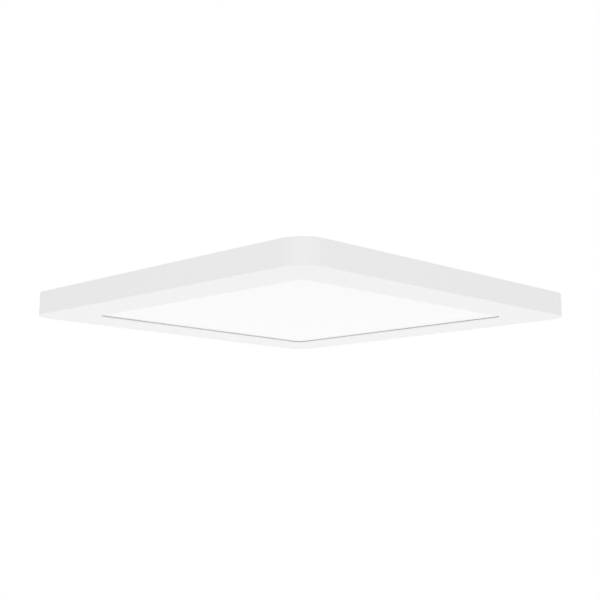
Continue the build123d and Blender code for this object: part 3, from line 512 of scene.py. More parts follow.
def apply_modifiers(piece):
    """Gives a piece the mesh that its modifiers make, and drops them."""
    bpy.context.view_layer.update()
    evaluated = piece.evaluated_get(bpy.context.evaluated_depsgraph_get())
    data = bpy.data.meshes.new_from_object(evaluated)
    piece.modifiers.clear()
    old = piece.data
    piece.data = data
    bpy.data.meshes.remove(old)


def boolean(piece, tool, operation):
    """Joins a tool mesh to a piece, or cuts with it. The tool is used up."""
    other = raw_object("tool", tool, piece.data.materials)
    modifier = piece.modifiers.new(operation, "BOOLEAN")
    modifier.operation = operation
    modifier.object = other
    modifier.solver = "EXACT"
    apply_modifiers(piece)
    bpy.data.objects.remove(other)


def merge_flat(mesh, angle=0.1):
    """Merges faces that lie in one plane, to within an angle in degrees."""
    bmesh.ops.dissolve_limit(mesh, angle_limit=math.radians(angle), verts=mesh.verts, edges=mesh.edges)


def round_mesh(mesh, width):
    """Rounds the sharp edges, once flat faces are merged."""
    bmesh.ops.remove_doubles(mesh, verts=mesh.verts, dist=WELD)
    merge_flat(mesh, 1)
    bevel(mesh, [e for e in mesh.edges if e.is_manifold and e.calc_face_angle(0) > ROUND_LIMIT], width)


SLOT_OF = {part["node"]: part["material_slot"] for part in frame["record"]["subparts"]}


def finish_of(node):
    return MATERIALS[SLOT_OF[node]]


def place(piece, node, slot=None):
    """The piece rides where the node rides and stands for it."""
    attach(piece, frame["nodes"][node]["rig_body"])
    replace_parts(piece, node)
    return piece


def piece_for(node, mesh, *others, suffix="_piece"):
    """Makes a piece in a node's finish, and then any others."""
    materials = [finish_of(node)] + [MATERIALS[name] for name in others]
    return raw_object(node + suffix, mesh, materials)


def stand_for(node, mesh, *others, suffix="_piece"):
    """Makes the piece that stands for a node, whole from one mesh."""
    return place(shade(piece_for(node, mesh, *others, suffix=suffix)), node)


# ---- materials
MATERIALS = {}


class Finish:
    """A material with one shader, and short calls for what is varied over the surface."""

    def __init__(self, name, colour, roughness, metallic=0.0, **inputs):
        material = MATERIALS[name] = bpy.data.materials.new(name)
        material.use_nodes = True
        self.nodes, self.links = material.node_tree.nodes, material.node_tree.links
        self.shader = self.nodes["Principled BSDF"]
        inputs.update(Base_Color=(*colour, 1), Roughness=roughness, Metallic=metallic)
        self.settle(self.shader, inputs)
        self.place = self.nodes.new("ShaderNodeTexCoord").outputs["Object"]
        self.relief = None

    @staticmethod
    def settle(node, settings):
        """Names with a capital set the node's inputs, and the others its own properties."""
        for key, value in settings.items():
            if key[0].isupper():
                node.inputs[key.replace("_", " ")].default_value = value
            else:
                setattr(node, key, value)

    def node(self, kind, **settings):
        made = self.nodes.new("ShaderNode" + kind)
        self.settle(made, settings)
        return made

    def noise(self, size, stretch=(1, 1, 1)):
        """Soft noise whose lumps are about size mm across. Returns its 0 to 1 output."""
        texture = self.node("TexNoise", Scale=1 / (size * MM), Detail=2.0)
        place = self.place
        if stretch != (1, 1, 1):
            mapping = self.node("Mapping", Scale=stretch)
            self.links.new(place, mapping.inputs["Vector"])
            place = mapping.outputs["Vector"]
        self.links.new(place, texture.inputs["Vector"])
        return texture.outputs["Fac"]

    def cells(self, size, output="Distance", randomness=1.0):
        """Cells about size mm across."""
        texture = self.node("TexVoronoi", Scale=1 / (size * MM), Randomness=randomness)
        self.links.new(self.place, texture.inputs["Vector"])
        return texture.outputs[output]

    def mapped(self, value, **ends):
        node = self.node("MapRange", **ends)
        self.links.new(value, node.inputs["Value"])
        return node.outputs["Result"]

    def ramp(self, value, low, high):
        """Maps a 0 to 1 value onto a range."""
        return self.mapped(value, To_Min=low, To_Max=high)

    def threshold(self, value, limit, soft=0.05):
        """1 below the limit and 0 above it."""
        return self.mapped(value, From_Min=limit + soft, From_Max=limit - soft)

    def tint(self, value, other):
        """Mixes the finish's colour with another one by a 0 to 1 value."""
        mix = self.node("Mix", data_type="RGBA")
        base = self.shader.inputs["Base Color"]
        mix.inputs["A"].default_value = base.default_value
        mix.inputs["B"].default_value = (*other, 1)
        self.links.new(value, mix.inputs["Factor"])
        self.links.new(mix.outputs["Result"], base)

    def rough(self, value, low, high):
        self.links.new(self.ramp(value, low, high), self.shader.inputs["Roughness"])

    def bump(self, value, depth):
        """Relief depth mm high, over any relief so far."""
        relief = self.node("Bump", Distance=depth * MM)
        self.links.new(value, relief.inputs["Height"])
        if self.relief:
            self.links.new(self.relief, relief.inputs["Normal"])
        self.relief = relief.outputs["Normal"]
        self.links.new(self.relief, self.shader.inputs["Normal"])


def plain(name, colour, roughness, grain, depth, metallic=0.0, stretch=(1, 1, 1), mottle=None,
          uneven=None, **inputs):
    """A finish with a fine grain. Mottle is the size of patches and their colour, and uneven the size
    of patches and their lowest and highest roughness. Sizes and the grain's depth are in mm."""
    finish = Finish(name, colour, roughness, metallic, **inputs)
    if mottle:
        finish.tint(finish.noise(mottle[0]), mottle[1])
    if uneven:
        finish.rough(finish.noise(uneven[0], stretch), *uneven[1:])
    finish.bump(finish.noise(grain, stretch), depth)


# name, colour, roughness, size and depth of the grain, and what else it has
plain("opal_acrylic", (0.945, 0.945, 0.943), 0.34, 0.5, 0.002, uneven=(2.0, 0.3, 0.38))
plain("white_film", (0.94, 0.94, 0.93), 0.6, 0.4, 0.004)
plain("led_board", (0.9, 0.9, 0.88), 0.4, 0.8, 0.01, mottle=(6, (0.86, 0.87, 0.85)))
plain("led_package", (0.9, 0.89, 0.85), 0.45, 0.3, 0.004)
plain("phosphor", (0.88, 0.72, 0.12), 0.25, 0.2, 0.006, mottle=(0.25, (0.8, 0.6, 0.06)))
plain("thermal_tape", (0.5, 0.6, 0.72), 0.75, 0.35, 0.03, stretch=(1, 1, 3))
plain("silicone", (0.86, 0.86, 0.83), 0.4, 0.6, 0.01, Transmission_Weight=0.25)
plain("bright_zinc", (0.72, 0.73, 0.74), 0.22, 0.4, 0.004, metallic=1.0, mottle=(2.5, (0.62, 0.64, 0.67)))
plain("spring_steel", (0.42, 0.43, 0.45), 0.3, 0.3, 0.004, metallic=1.0, stretch=(0.05, 1, 0.05),
      uneven=(0.5, 0.24, 0.42))
plain("green_screw", (0.05, 0.32, 0.1), 0.35, 0.3, 0.005, metallic=0.4, mottle=(1.2, (0.04, 0.26, 0.08)))
plain("white_plastic", (0.82, 0.82, 0.8), 0.5, 0.35, 0.012, mottle=(9, (0.79, 0.79, 0.775)))
plain("black_plastic", (0.03, 0.03, 0.032), 0.5, 0.3, 0.01, uneven=(1.0, 0.42, 0.6))
plain("clear_sheet", (0.82, 0.83, 0.8), 0.3, 4.0, 0.02, Transmission_Weight=0.5)
plain("ferrite", (0.07, 0.07, 0.075), 0.6, 0.3, 0.02, metallic=0.2, mottle=(0.4, (0.1, 0.1, 0.105)))
plain("winding_tape", (0.82, 0.6, 0.08), 0.3, 0.6, 0.05, stretch=(0.2, 0.2, 1))
plain("capacitor_can", (0.03, 0.035, 0.045), 0.25, 1.0, 0.01, mottle=(3, (0.04, 0.045, 0.055)))
plain("fuse_body", (0.18, 0.34, 0.2), 0.4, 0.5, 0.02)
plain("varistor_blue", (0.03, 0.1, 0.42), 0.35, 0.9, 0.04)
plain("brass", (0.75, 0.55, 0.24), 0.3, 0.3, 0.004, metallic=1.0, stretch=(0.05, 1, 1),
      uneven=(0.3, 0.25, 0.42))
plain("tinned_copper", (0.72, 0.71, 0.68), 0.3, 0.4, 0.008, metallic=1.0, mottle=(0.8, (0.62, 0.61, 0.58)))
plain("rubber_black", (0.03, 0.03, 0.03), 0.7, 0.3, 0.015, uneven=(0.8, 0.6, 0.8))
for name, colour in WIRES.items():
    plain(name, colour, 0.36, 0.5, 0.006, mottle=(5, tuple(0.9 * channel for channel in colour)))

# Satin powder coat, with its fine orange peel
finish = Finish("white_coat", (0.868, 0.868, 0.864), 0.42)
finish.tint(finish.noise(18), (0.855, 0.856, 0.855))
finish.rough(finish.noise(1.2), 0.38, 0.5)
finish.bump(finish.noise(0.9), 0.006)
finish.bump(finish.noise(3.5), 0.01)

# Clear sheet with a grid of printed dots that let the light out
finish = Finish("clear_acrylic", (0.96, 0.98, 0.975), 0.06, IOR=1.49)
dots = finish.threshold(finish.cells(1.5, randomness=0.0), 0.28)
finish.tint(dots, (0.97, 0.97, 0.97))
finish.links.new(finish.ramp(dots, 0.92, 0.1), finish.shader.inputs["Transmission Weight"])
finish.rough(dots, 0.06, 0.7)
finish.bump(dots, 0.01)

# Foam with its pores
finish = Finish("grey_foam", (0.34, 0.35, 0.36), 0.95)
pores = finish.cells(0.7)
finish.tint(finish.threshold(pores, 0.25, 0.1), (0.2, 0.2, 0.21))
finish.bump(pores, 0.12)

# Polyimide film with copper tracks under it
finish = Finish("amber_flex", (0.55, 0.26, 0.04), 0.28)
finish.tint(finish.threshold(finish.noise(1.6, (0.02, 0.02, 1)), 0.5), (0.72, 0.38, 0.1))
finish.bump(finish.noise(0.5), 0.01)

# Galvanised sheet with its spangle
finish = Finish("zinc_steel", (0.6, 0.61, 0.62), 0.4, metallic=0.9)
flakes = finish.cells(4.5, "Color")
finish.tint(finish.ramp(flakes, 0.0, 0.5), (0.52, 0.535, 0.55))
finish.rough(flakes, 0.34, 0.46)
finish.bump(finish.noise(0.35, (1, 0.08, 1)), 0.004)

# Solder mask over tracks
finish = Finish("circuit_green", (0.02, 0.16, 0.06), 0.3)
tracks = finish.threshold(finish.cells(3.2), 0.42, 0.03)
finish.tint(tracks, (0.03, 0.22, 0.08))
finish.bump(tracks, 0.03)


# ---- the casting
def casting_ring(half, face, rim, seat):
    """Side walls, bezel and the stepped lip, swept round the four sides."""
    inside = half - WALL
    bezel_back = face + BEZEL_THICKNESS
    opening = half - BEZEL_WIDTH
    pocket = span("diffuser", 0)[1] + POCKET_GAP
    relief = opening + RELIEF_WIDTH
    body = [(half, face, BEZEL_EDGE), (half, rim, RIM_EDGE), (inside, rim, RIM_EDGE),
            (inside, bezel_back, BEZEL_EDGE)]
    lip = [(pocket, bezel_back, STEP_EDGE), (pocket, seat, STEP_EDGE), (relief, seat, STEP_EDGE),
           (relief, seat - RELIEF_DEPTH, STEP_EDGE), (opening, seat - RELIEF_DEPTH, STEP_EDGE),
           (opening, face, LIP_EDGE)]
    nodes = [(side, BODY_RADIUS + side - half, z, edge) for side, z, edge in body]
    nodes += [(side, OPENING_RADIUS + side - opening, z, edge) for side, z, edge in lip]
    return skin_mesh([arc_ring(h, h, r, z) for h, r, z in edge_rounds(nodes)], closed=True)


def gusset_outline(start, step, wall, floor, low):
    """A rib that runs under the back plate and then climbs the wall."""
    return [
        (start, floor),
        (wall + ROOT, floor),
        (wall + ROOT, -RIB_HEADROOM),
        (wall - RIB_TOP_WIDTH, -RIB_HEADROOM),
        (step, low),
        (start, low),
    ]


def casting_ribs(half, floor, plate_low, rail_back, plate_half):
    """Ribs along the sides, and one towards each corner."""
    low = plate_low - RIB_GAP
    ends = about(0, RIB_THICKNESS)
    mesh = bmesh.new()
    outline = gusset_outline(rail_back - ROOT, plate_half + RIB_STEP, half - WALL, floor, low)
    for turn in SIDES.values():
        for i in range(RIB_COUNT):
            offset = (i - (RIB_COUNT - 1) / 2) * RIB_SPACING
            matrix = turned(turn) @ Matrix.Translation((0, offset, 0)) @ STANDING
            add_prism(mesh, outline, *ends, matrix, CAST_EDGE)
    diagonal = math.sqrt(2)
    wall = (half - BODY_RADIUS) * diagonal + BODY_RADIUS - WALL
    plate_corner = (plate_half - PLATE_RADIUS) * diagonal + PLATE_RADIUS
    screw = (plate_half - PLATE_EDGE) * diagonal
    outline = gusset_outline(screw, plate_corner + RIB_STEP, wall, floor, low)
    for turn in SIDES.values():
        add_prism(mesh, outline, *ends, turned(turn + 45) @ STANDING, CAST_EDGE)
    bmesh.ops.triangulate(mesh, faces=mesh.faces)
    return mesh


def screw_places():
    line = span("back_plate", 0)[1] - PLATE_EDGE
    return [(x, y) for x in (-line, 0, line) for y in (-line, 0, line) if x or y]


def bezel_frame():
    (_, half), _, (face, rim) = spans("bezel_frame")
    (_, plate_half), _, (plate_low, _) = spans("back_plate")
    bezel_back = face + BEZEL_THICKNESS
    floor = bezel_back - ROOT
    rail_face = span("thermal_tapes", 1)[1]
    rail_back = rail_face + RAIL_THICKNESS
    rail_end = span("led_board_rear", 0)[1] + RAIL_MARGIN
    ring = casting_ring(half, face, rim, span("diffuser", 2)[0])
    piece = raw_object("bezel_casting", ring, [finish_of("bezel_frame")])
    rails = bmesh.new()
    rail = ((-rail_end, rail_end), (rail_face, rail_back), (floor, plate_low))
    for turn in SIDES.values():
        add_block(rails, *rail, turned(turn), CAST_EDGE)
    boolean(piece, rails, "UNION")
    bosses, pilots = bmesh.new(), bmesh.new()
    side = BOSS_SIDE / 2
    for place_xy in screw_places():
        add_skin(bosses, slab_rings(side, side, BOSS_CORNER, floor, plate_low, CAST_EDGE, place_xy, 4))
        add_bore(pilots, PILOT_DIAMETER / 2, (bezel_back + PILOT_FLOOR, plate_low + 1), *place_xy)
    boolean(piece, bosses, "UNION")
    boolean(piece, casting_ribs(half, floor, plate_low, rail_back, plate_half), "UNION")
    boolean(piece, pilots, "DIFFERENCE")
    rework(piece, merge_flat)
    return place(shade(piece), "bezel_frame")


# ---- optical stack and light sources
def plate_piece(node, radius, edge, steps):
    """A rounded sheet that fills a node's box."""
    rings = slab_rings(*halves(node)[:2], radius, *span(node, 2), edge, centre(node), steps)
    stand_for(node, skin_mesh(rings), suffix="_sheet")


def led_board(side):
    """The board, with the solder lands that its links and leads are joined to."""
    x, y, z = spans("led_board_rear")
    mesh = bmesh.new()
    add_block(mesh, x, y, z, turned(SIDES[side]), 0.1)
    for end in (-1, 1):
        for level in (0.3, 0.7):
            middle = end * (x[1] - LAND[0])
            height = z[0] + level * (z[1] - z[0])
            add_block(mesh, about(middle, LAND[0]), about(y[0], 2 * LAND[2]), about(height, LAND[1]),
                      turned(SIDES[side]), 0.02, 1)
    stand_for("led_board_" + side, mesh, "tinned_copper")


def led_row(side):
    """White packages with a window of phosphor."""
    face, back = span("led_row_rear", 1)
    level = centre("led_row_rear")[2]
    half_x, half_z = LED_LENGTH / 2, halves("led_row_rear")[2]
    mesh = bmesh.new()
    well = LED_RIM + 0.05
    depths = ((0, back), (0, face + 0.05), (0.05, face), (LED_RIM, face), (well, face + LED_WELL))
    for i in range(LED_COUNT):
        middle = ((i - (LED_COUNT - 1) / 2) * LED_PITCH, level)
        rings = [arc_ring(half_x - inset, half_z - inset, LED_CORNER, depth, middle, 2)
                 for inset, depth in depths]
        add_skin(mesh, moved(rings, matrix=turned(SIDES[side]) @ STANDING), cap=1)
    stand_for("led_row_" + side, mesh, "phosphor")


# ---- back plate and fasteners
def bead_rings(inset, level):
    """The rear bead, drawn up from a level with a soft foot. Its hollow is inset by the thickness."""
    rings = []
    for step in range(BEAD_STEPS + 1):
        rise = (1 - math.cos(math.pi * step / BEAD_STEPS)) / 2
        shrink = inset - BEAD_FLARE + BEAD_DRAW * step / BEAD_STEPS
        half = BEAD_WIDTH / 2 - shrink
        z = level - BEAD_SINK + (BEAD_HEIGHT + BEAD_SINK) * rise
        rings.append(arc_ring(BEAD_LENGTH / 2 - shrink, half, half - 0.01, z, (0, BEAD_LINE), 8))
    return rings


def back_plate():
    (_, half), _, (low, full) = spans("back_plate")
    high = full - BEAD_HEIGHT
    mesh = skin_mesh(slab_rings(half, half, PLATE_RADIUS, low, high, SHEET_EDGE))
    piece = piece_for("back_plate", mesh, suffix="_sheet")
    beads, cuts = bmesh.new(), bmesh.new()
    for turn in SIDES.values():
        add_skin(beads, moved(bead_rings(0, high), turn=turn))
        add_skin(cuts, moved(bead_rings(high - low, low), turn=turn))
    boolean(piece, beads, "UNION")
    holes = [(x, y, PLATE_HOLE) for x, y in screw_places()]
    for x, y, diameter in holes + [(*centre("lead_grommet")[:2], GROMMET_NECK + 0.1)]:
        add_bore(cuts, diameter / 2, (low - 1, high + 1), x, y)
    boolean(piece, cuts, "DIFFERENCE")
    return place(shade(piece), "back_plate")


def back_plate_screws():
    mesh = bmesh.new()
    level = span("back_plate_screws", 2)[1] - SCREW_HEAD[1]
    for i, (x, y) in enumerate(screw_places()):
        add_skin(mesh, moved(screw_rings(SCREW_HEAD, SCREW_SHANK, SCREW_PITCH), x, y, level, 23 * i))
    stand_for("back_plate_screws", mesh)


def ground_screw():
    """Hangs under the crossbar."""
    rings = screw_rings(GROUND_HEAD, GROUND_SHANK, GROUND_PITCH)
    matrix = Matrix.Translation((GROUND_PLACE, 0, -GROUND_SHANK[1])) @ Matrix.Rotation(math.pi, 4, "X")
    stand_for("ground_screw", skin_mesh(moved(rings, matrix=matrix)))


def stud_places():
    """Each stud's place and the height that its nut stands on, above the plate."""
    plate = span("weld_studs", 2)[0]
    right = span("spring_clip_right", 0)[1] - CLIP_TOE
    tray = span("driver_tray", 0)[1] - EAR_LENGTH / 2
    driver, terminal = centre("driver_tray")[1], centre("terminal_block")[1]
    earth = centre("earth_tag")[0]
    ear = span("terminal_block", 0)[0] + TERMINAL_EAR_LENGTH / 2
    return plate, [
        (-tray, driver, TRAY_THICKNESS),
        (tray, driver, TRAY_THICKNESS),
        (-right, 0, CLIP_THICKNESS),
        (right, 0, CLIP_THICKNESS),
        (ear, terminal, TERMINAL_EAR_THICKNESS),
        (earth, terminal, TAG_THICKNESS),
    ]


def studs_and_nuts():
    plate, places = stud_places()
    radius, length = STUD[0] / 2, STUD[1]
    studs, nuts = bmesh.new(), bmesh.new()
    stud = [turn_ring(radius, 0)] + thread_rings(STUD[0], STUD_PITCH, 0.3, length - 0.3)
    stud.append(turn_ring(radius * 0.75, length))
    bore = NUT_BORE / 2
    lead_in = bore + 0.25
    nut = [turn_ring(bore, 0.25), turn_ring(lead_in, 0)] + hex_rings(NUT[0], 0, NUT[1], both=True)
    nut += [turn_ring(lead_in, NUT[1]), turn_ring(bore, NUT[1] - 0.25)]
    for i, (x, y, seat) in enumerate(places):
        add_skin(studs, moved(stud, x, y, plate))
        add_skin(nuts, moved(nut, x, y, plate + seat, 17 * i), closed=True)
    stand_for("weld_studs", studs)
    stand_for("stud_nuts", nuts)


def lead_grommet():
    """A rubber bush with a rounded flange and a flared bore."""
    low, high = span("lead_grommet", 2)
    x, y = centre("lead_grommet")[:2]
    flange = high - GROMMET_FLANGE_THICKNESS
    bore, neck, rim = GROMMET_BORE / 2, GROMMET_NECK / 2, GROMMET_FLANGE / 2
    profile = [(bore + 0.2, low), (neck - 0.15, low), (neck, low + 0.15), (neck, flange),
               (rim - 0.1, flange)]
    for step in range(7):
        angle = math.pi / 2 * (step / 3 - 1)
        half = (high - flange) / 2
        profile.append((rim - half + half * math.cos(angle), flange + half + half * math.sin(angle)))
    profile += [(bore + 0.4, high), (bore + 0.12, high - 0.12), (bore, high - 0.4), (bore, low + 0.2)]
    rings = [turn_ring(r, z) for r, z in profile]
    stand_for("lead_grommet", skin_mesh(moved(rings, x, y), closed=True))


# ---- mounting bracket and clips
def bent_line(points, radii):
    """A line that turns at its inner points, as places in a plane with their directions."""
    points = [Vector(point) for point in points]
    places = [(points[0], (points[1] - points[0]).normalized())]
    for before, here, after, radius in zip(points, points[1:], points[2:], radii):
        arrive = (here - before).normalized()
        leave = (after - here).normalized()
        bend = arrive.angle_signed(leave)
        back = radius * math.tan(abs(bend) / 2)
        start = here - arrive * back
        side = Vector((-arrive.y, arrive.x)) * (-1 if bend > 0 else 1)
        centre = start + side * radius
        for step in range(BEND_STEPS + 1):
            swing = Matrix.Rotation(-bend * step / BEND_STEPS, 2)
            places.append((centre + swing @ (start - centre), swing @ arrive))
    places.append((points[-1], (points[-1] - points[-2]).normalized()))
    return places


def bent_rings(points, radii, thickness, width):
    """Sheet metal bent along points in the XZ plane, as sections across its line."""
    rings = []
    for place_xz, along in bent_line(points, radii):
        side = Vector((-along.y, along.x)) * thickness / 2
        low, high = place_xz - side, place_xz + side
        rings.append([(low.x, -width / 2, low.y), (low.x, width / 2, low.y),
                      (high.x, width / 2, high.y), (high.x, -width / 2, high.y)])
    return rings


def bracket_sheet(half, bend, leg, edge, leg_low):
    """The crossbar's middle surface: a web with a flange at each side, and a leg at each end."""
    root = edge - half - bend
    flange_end = FLANGE_LENGTH / 2
    relief_end = flange_end + BEND_RELIEF
    mesh = bmesh.new()
    add_sheet(mesh, [[(x, y, -half) for y in (-root, root)]
                     for x in (-relief_end, -flange_end, flange_end, relief_end)])
    for side in (-1, 1):
        outline = [(side * relief_end, -half), (side * leg, -half), (side * leg, leg_low)]
        add_sheet(mesh, [[(spot.x, y, spot.y) for y in (-edge, -root, root, edge)]
                         for spot, _ in bent_line(outline, [bend])])
        flange = side * (edge - half)
        outline = [(side * root, -half), (flange, -half), (flange, -FLANGE_DEPTH)]
        add_sheet(mesh, [[(x, spot.x, spot.y) for x in (-flange_end, flange_end)]
                         for spot, _ in bent_line(outline, [bend])])
    return mesh


def round_leg_corners(mesh, edge, leg_low):
    corners = [e for e in mesh.edges
               if all(v.co.z < (leg_low + 0.01) * MM and abs(v.co.y) > (edge - 0.01) * MM for v in e.verts)]
    bevel(mesh, corners, LEG_CORNER, 6, clamp=False)


def mounting_bracket():
    """A pressed crossbar with stiffening flanges, and a windowed leg bent down at each end."""
    half = BRACKET_THICKNESS / 2
    (_, end), (_, edge), (leg_low, _) = spans("mounting_bracket")
    leg = end - half
    piece = piece_for("mounting_bracket", bracket_sheet(half, BRACKET_BEND + half, leg, edge, leg_low))
    sheet = piece.modifiers.new("thickness", "SOLIDIFY")
    sheet.thickness = BRACKET_THICKNESS * MM
    sheet.offset = 0
    sheet.use_even_offset = True
    apply_modifiers(piece)
    rework(piece, lambda mesh: round_leg_corners(mesh, edge, leg_low))
    cuts = bmesh.new()
    levels = (-BRACKET_THICKNESS - 1, 1)
    length, width, corner = WIRE_OPENING
    add_skin(cuts, [arc_ring(length / 2, width / 2, corner, z, steps=8) for z in levels])
    length, width = SLOT
    for x in about(0, SLOT_SPACING):
        add_skin(cuts, [arc_ring(length / 2, width / 2, width / 2 - 0.01, z, (x, 0), 10) for z in levels])
    add_bore(cuts, GROUND_SHANK[0] / 2 + 0.05, levels, GROUND_PLACE)
    for side in (-1, 1):
        add_block(cuts, about(side * leg, 4), about(0, WINDOW[0]), (-WINDOW[2] - WINDOW[1], -WINDOW[2]))
    boolean(piece, cuts, "DIFFERENCE")
    rework(piece, lambda mesh: round_mesh(mesh, SHEET_EDGE))
    for vert in piece.data.vertices:
        vert.co.z = min(vert.co.z, 0.0)  # the web lies flat against the ceiling
    return place(shade(piece), "mounting_bracket")


def spring_clip(side):
    """A foot on the back plate, and a barb through the leg's window."""
    node = "spring_clip_" + side
    low = span(node, 2)[0]
    level = low + CLIP_THICKNESS / 2
    toe = span("spring_clip_right", 0)[1]
    knee = (toe - CLIP_KNEE[0], low + CLIP_KNEE[1])
    barb = (toe - CLIP_BARB[0], low + CLIP_BARB[1])
    tip = (barb[0] + LEAD_IN[0], barb[1] + LEAD_IN[1])
    turn, way = (0, 1) if side == "right" else (180, -1)
    points = [(toe, level), (knee[0], level), knee, barb, tip]
    rings = moved(bent_rings(points, CLIP_BENDS, CLIP_THICKNESS, CLIP_WIDTH), turn=turn)
    piece = piece_for(node, skin_mesh(rings))
    hole = bmesh.new()
    add_bore(hole, STUD_HOLE / 2, (low - 1, low + CLIP_THICKNESS + 1), way * (toe - CLIP_TOE))
    boolean(piece, hole, "DIFFERENCE")
    rework(piece, lambda mesh: round_mesh(mesh, CLIP_EDGE))
    return place(shade(piece), node)


# ---- driver housing
def driver_cover():
    """A moulded box with a slot for the selector, three marks beside it, and notches for the leads."""
    (_, x), y, (low, high) = spans("driver_cover")
    middle, half_y = centre("driver_cover"), halves("driver_cover")[1]
    rings = slab_rings(x, half_y, DRIVER_CORNER, low, high, COVER_EDGE, middle, 12, foot=0.1)
    piece = piece_for("driver_cover", skin_mesh(rings))
    wall = COVER_WALL
    rings = slab_rings(x - wall, half_y - wall, DRIVER_CORNER - wall, low - 1, high - wall, 0.3, middle, 6,
                       foot=0.0)
    boolean(piece, skin_mesh(rings), "DIFFERENCE")
    cuts = bmesh.new()
    for place_x in (-SNAP_PLACE, SNAP_PLACE):
        for side in (-1, 1):
            band = sorted(middle[1] + side * value for value in (half_y - 2, half_y + 1))
            add_block(cuts, about(place_x, SNAP_WINDOW[0]), band,
                      (low + SNAP_WINDOW[1], low + SNAP_WINDOW[2]))
    add_block(cuts, MAINS_NOTCH[0], (y[0] - 1, y[0] + 2), (low - 1, MAINS_NOTCH[1]))
    add_block(cuts, (x - 2, x + 1), LED_NOTCH[0], (low - 1, LED_NOTCH[1]))
    knob = centre("selector_knob")
    add_skin(cuts, [arc_ring(SELECTOR_SLOT[0] / 2, SELECTOR_SLOT[1] / 2, 0.3, z, knob, 4)
                    for z in (high - wall - 1, high + 1)])
    boolean(piece, cuts, "DIFFERENCE")
    marks = bmesh.new()
    for step in (-1, 0, 1):
        place_xy = (knob[0] + step * SELECTOR_TRAVEL, knob[1] + MARK_OFFSET)
        add_skin(marks, slab_rings(MARK[0] / 2, MARK[1] / 2, 0.2, high - 0.3, high + MARK[2], 0.08,
                                   place_xy, 3))
    boolean(piece, marks, "UNION")
    return place(shade(piece), "driver_cover")


def capacitor(node):
    """A can in a shrunk sleeve, rolled in near one end, with its bare top showing there."""
    (_, y, z), (x, _, level) = spans(node), centre(node)
    radius, length = (z[1] - z[0]) / 2, y[1] - y[0]
    profile = [(radius - 0.9, 0), (radius - 0.3, 0.1), (radius, 0.5), (radius, length - 2.6),
               (radius - 0.45, length - 2.1), (radius - 0.45, length - 1.8), (radius, length - 1.3),
               (radius, length - 0.4), (radius - 0.25, length - 0.08), (radius - 0.7, length),
               (radius - 0.8, length - 0.15)]
    rings = moved([turn_ring(r, h) for r, h in profile], matrix=lying(x, y[0], level))
    stand_for(node, skin_mesh(rings, cap=1), "bright_zinc")


def fuse():
    """A body with a metal cap on each end."""
    (_, y, z), (x, _, level) = spans("fuse"), centre("fuse")
    radius, length = (z[1] - z[0]) / 2, y[1] - y[0]
    cap = FUSE_CAP
    mesh = bmesh.new()
    for start, end, size, material in ((0, cap, radius, 1), (cap, length - cap, radius - 0.12, 0),
                                       (length - cap, length, radius, 1)):
        profile = [(size - 0.15, start), (size, start + 0.15), (size, end - 0.15), (size - 0.15, end)]
        rings = [turn_ring(r, h) for r, h in profile]
        add_skin(mesh, moved(rings, matrix=lying(x, y[0], level)), material=material)
    stand_for("fuse", mesh, "bright_zinc")


def varistor():
    """A dipped disc."""
    radius, _, half = halves("varistor")
    rings = []
    for step in range(1, 12):
        angle = math.pi * (step / 12 - 0.5)
        rings.append(turn_ring(radius - half + half * math.cos(angle), half * math.sin(angle)))
    rings = [turn_ring(radius * 0.4, -half)] + rings + [turn_ring(radius * 0.4, half)]
    stand_for("varistor", skin_mesh(moved(rings, *centre("varistor"))))


def transformer_winding():
    """Turns of wire side by side round the centre leg."""
    half_x, half_y, _ = halves("transformer_winding")
    middle, (low, high) = centre("transformer_winding"), span("transformer_winding", 2)
    width = WINDING_WIDTH
    count = WINDING_TURNS * 6
    rings = [arc_ring(half_x - width, half_y - width, 0.3, level, middle, 6) for level in (high, low)]
    for i in range(count + 1):
        inset = WINDING_GROOVE * (1 - abs(math.sin(math.pi * WINDING_TURNS * i / count)))
        height = low + (high - low) * i / count
        rings.append(arc_ring(half_x - inset, half_y - inset, width - inset, height, middle, 6))
    stand_for("transformer_winding", skin_mesh(rings, closed=True))


# ---- leads
def lead(node, route, diameter):
    """A lead whose spline follows the route's points."""
    curve = bpy.data.curves.new(node + "_curve", "CURVE")
    curve.dimensions = "3D"
    curve.bevel_depth = diameter / 2 * MM
    curve.bevel_resolution = 4
    curve.resolution_u = 10
    curve.use_fill_caps = True
    spline = curve.splines.new("NURBS")
    spline.points.add(len(route) - 1)
    for point, spot in zip(spline.points, route):
        point.co = (*(Vector(spot) * MM), 1)
    spline.order_u = 3
    spline.use_endpoint_u = True
    curve.materials.append(finish_of(node))
    place(new_object(node + "_piece", curve), node)


def conductor(node, route):
    """The bare end in the terminal, with its cut edge rounded."""
    x, y, z = route[0]
    radius = CONDUCTOR_DIAMETER / 2
    profile = [(radius - 0.15, 0), (radius, 0.15), (radius, STRIP_LENGTH - 0.01)]
    rings = moved([turn_ring(r, h) for r, h in profile], matrix=lying(x, y - STRIP_LENGTH, z))
    piece = raw_object(node + "_conductor", skin_mesh(rings), [MATERIALS["tinned_copper"]])
    place(shade(piece), node, "tinned_copper")


# ---- pieces that keep the CAD's form
def dress_the_rest():
    """Each node that nothing stands for yet gets a piece with its form and rounded edges."""
    replaced = {node for piece in bpy.data.objects for node in piece.get("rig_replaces", [])}
    for node, solid in frame["nodes"].items():
        if node not in replaced:
            mesh = bmesh.new()
            mesh.from_mesh(solid.data)
            round_mesh(mesh, EDGES.get(node, SMALL_EDGE))
            stand_for(node, mesh)


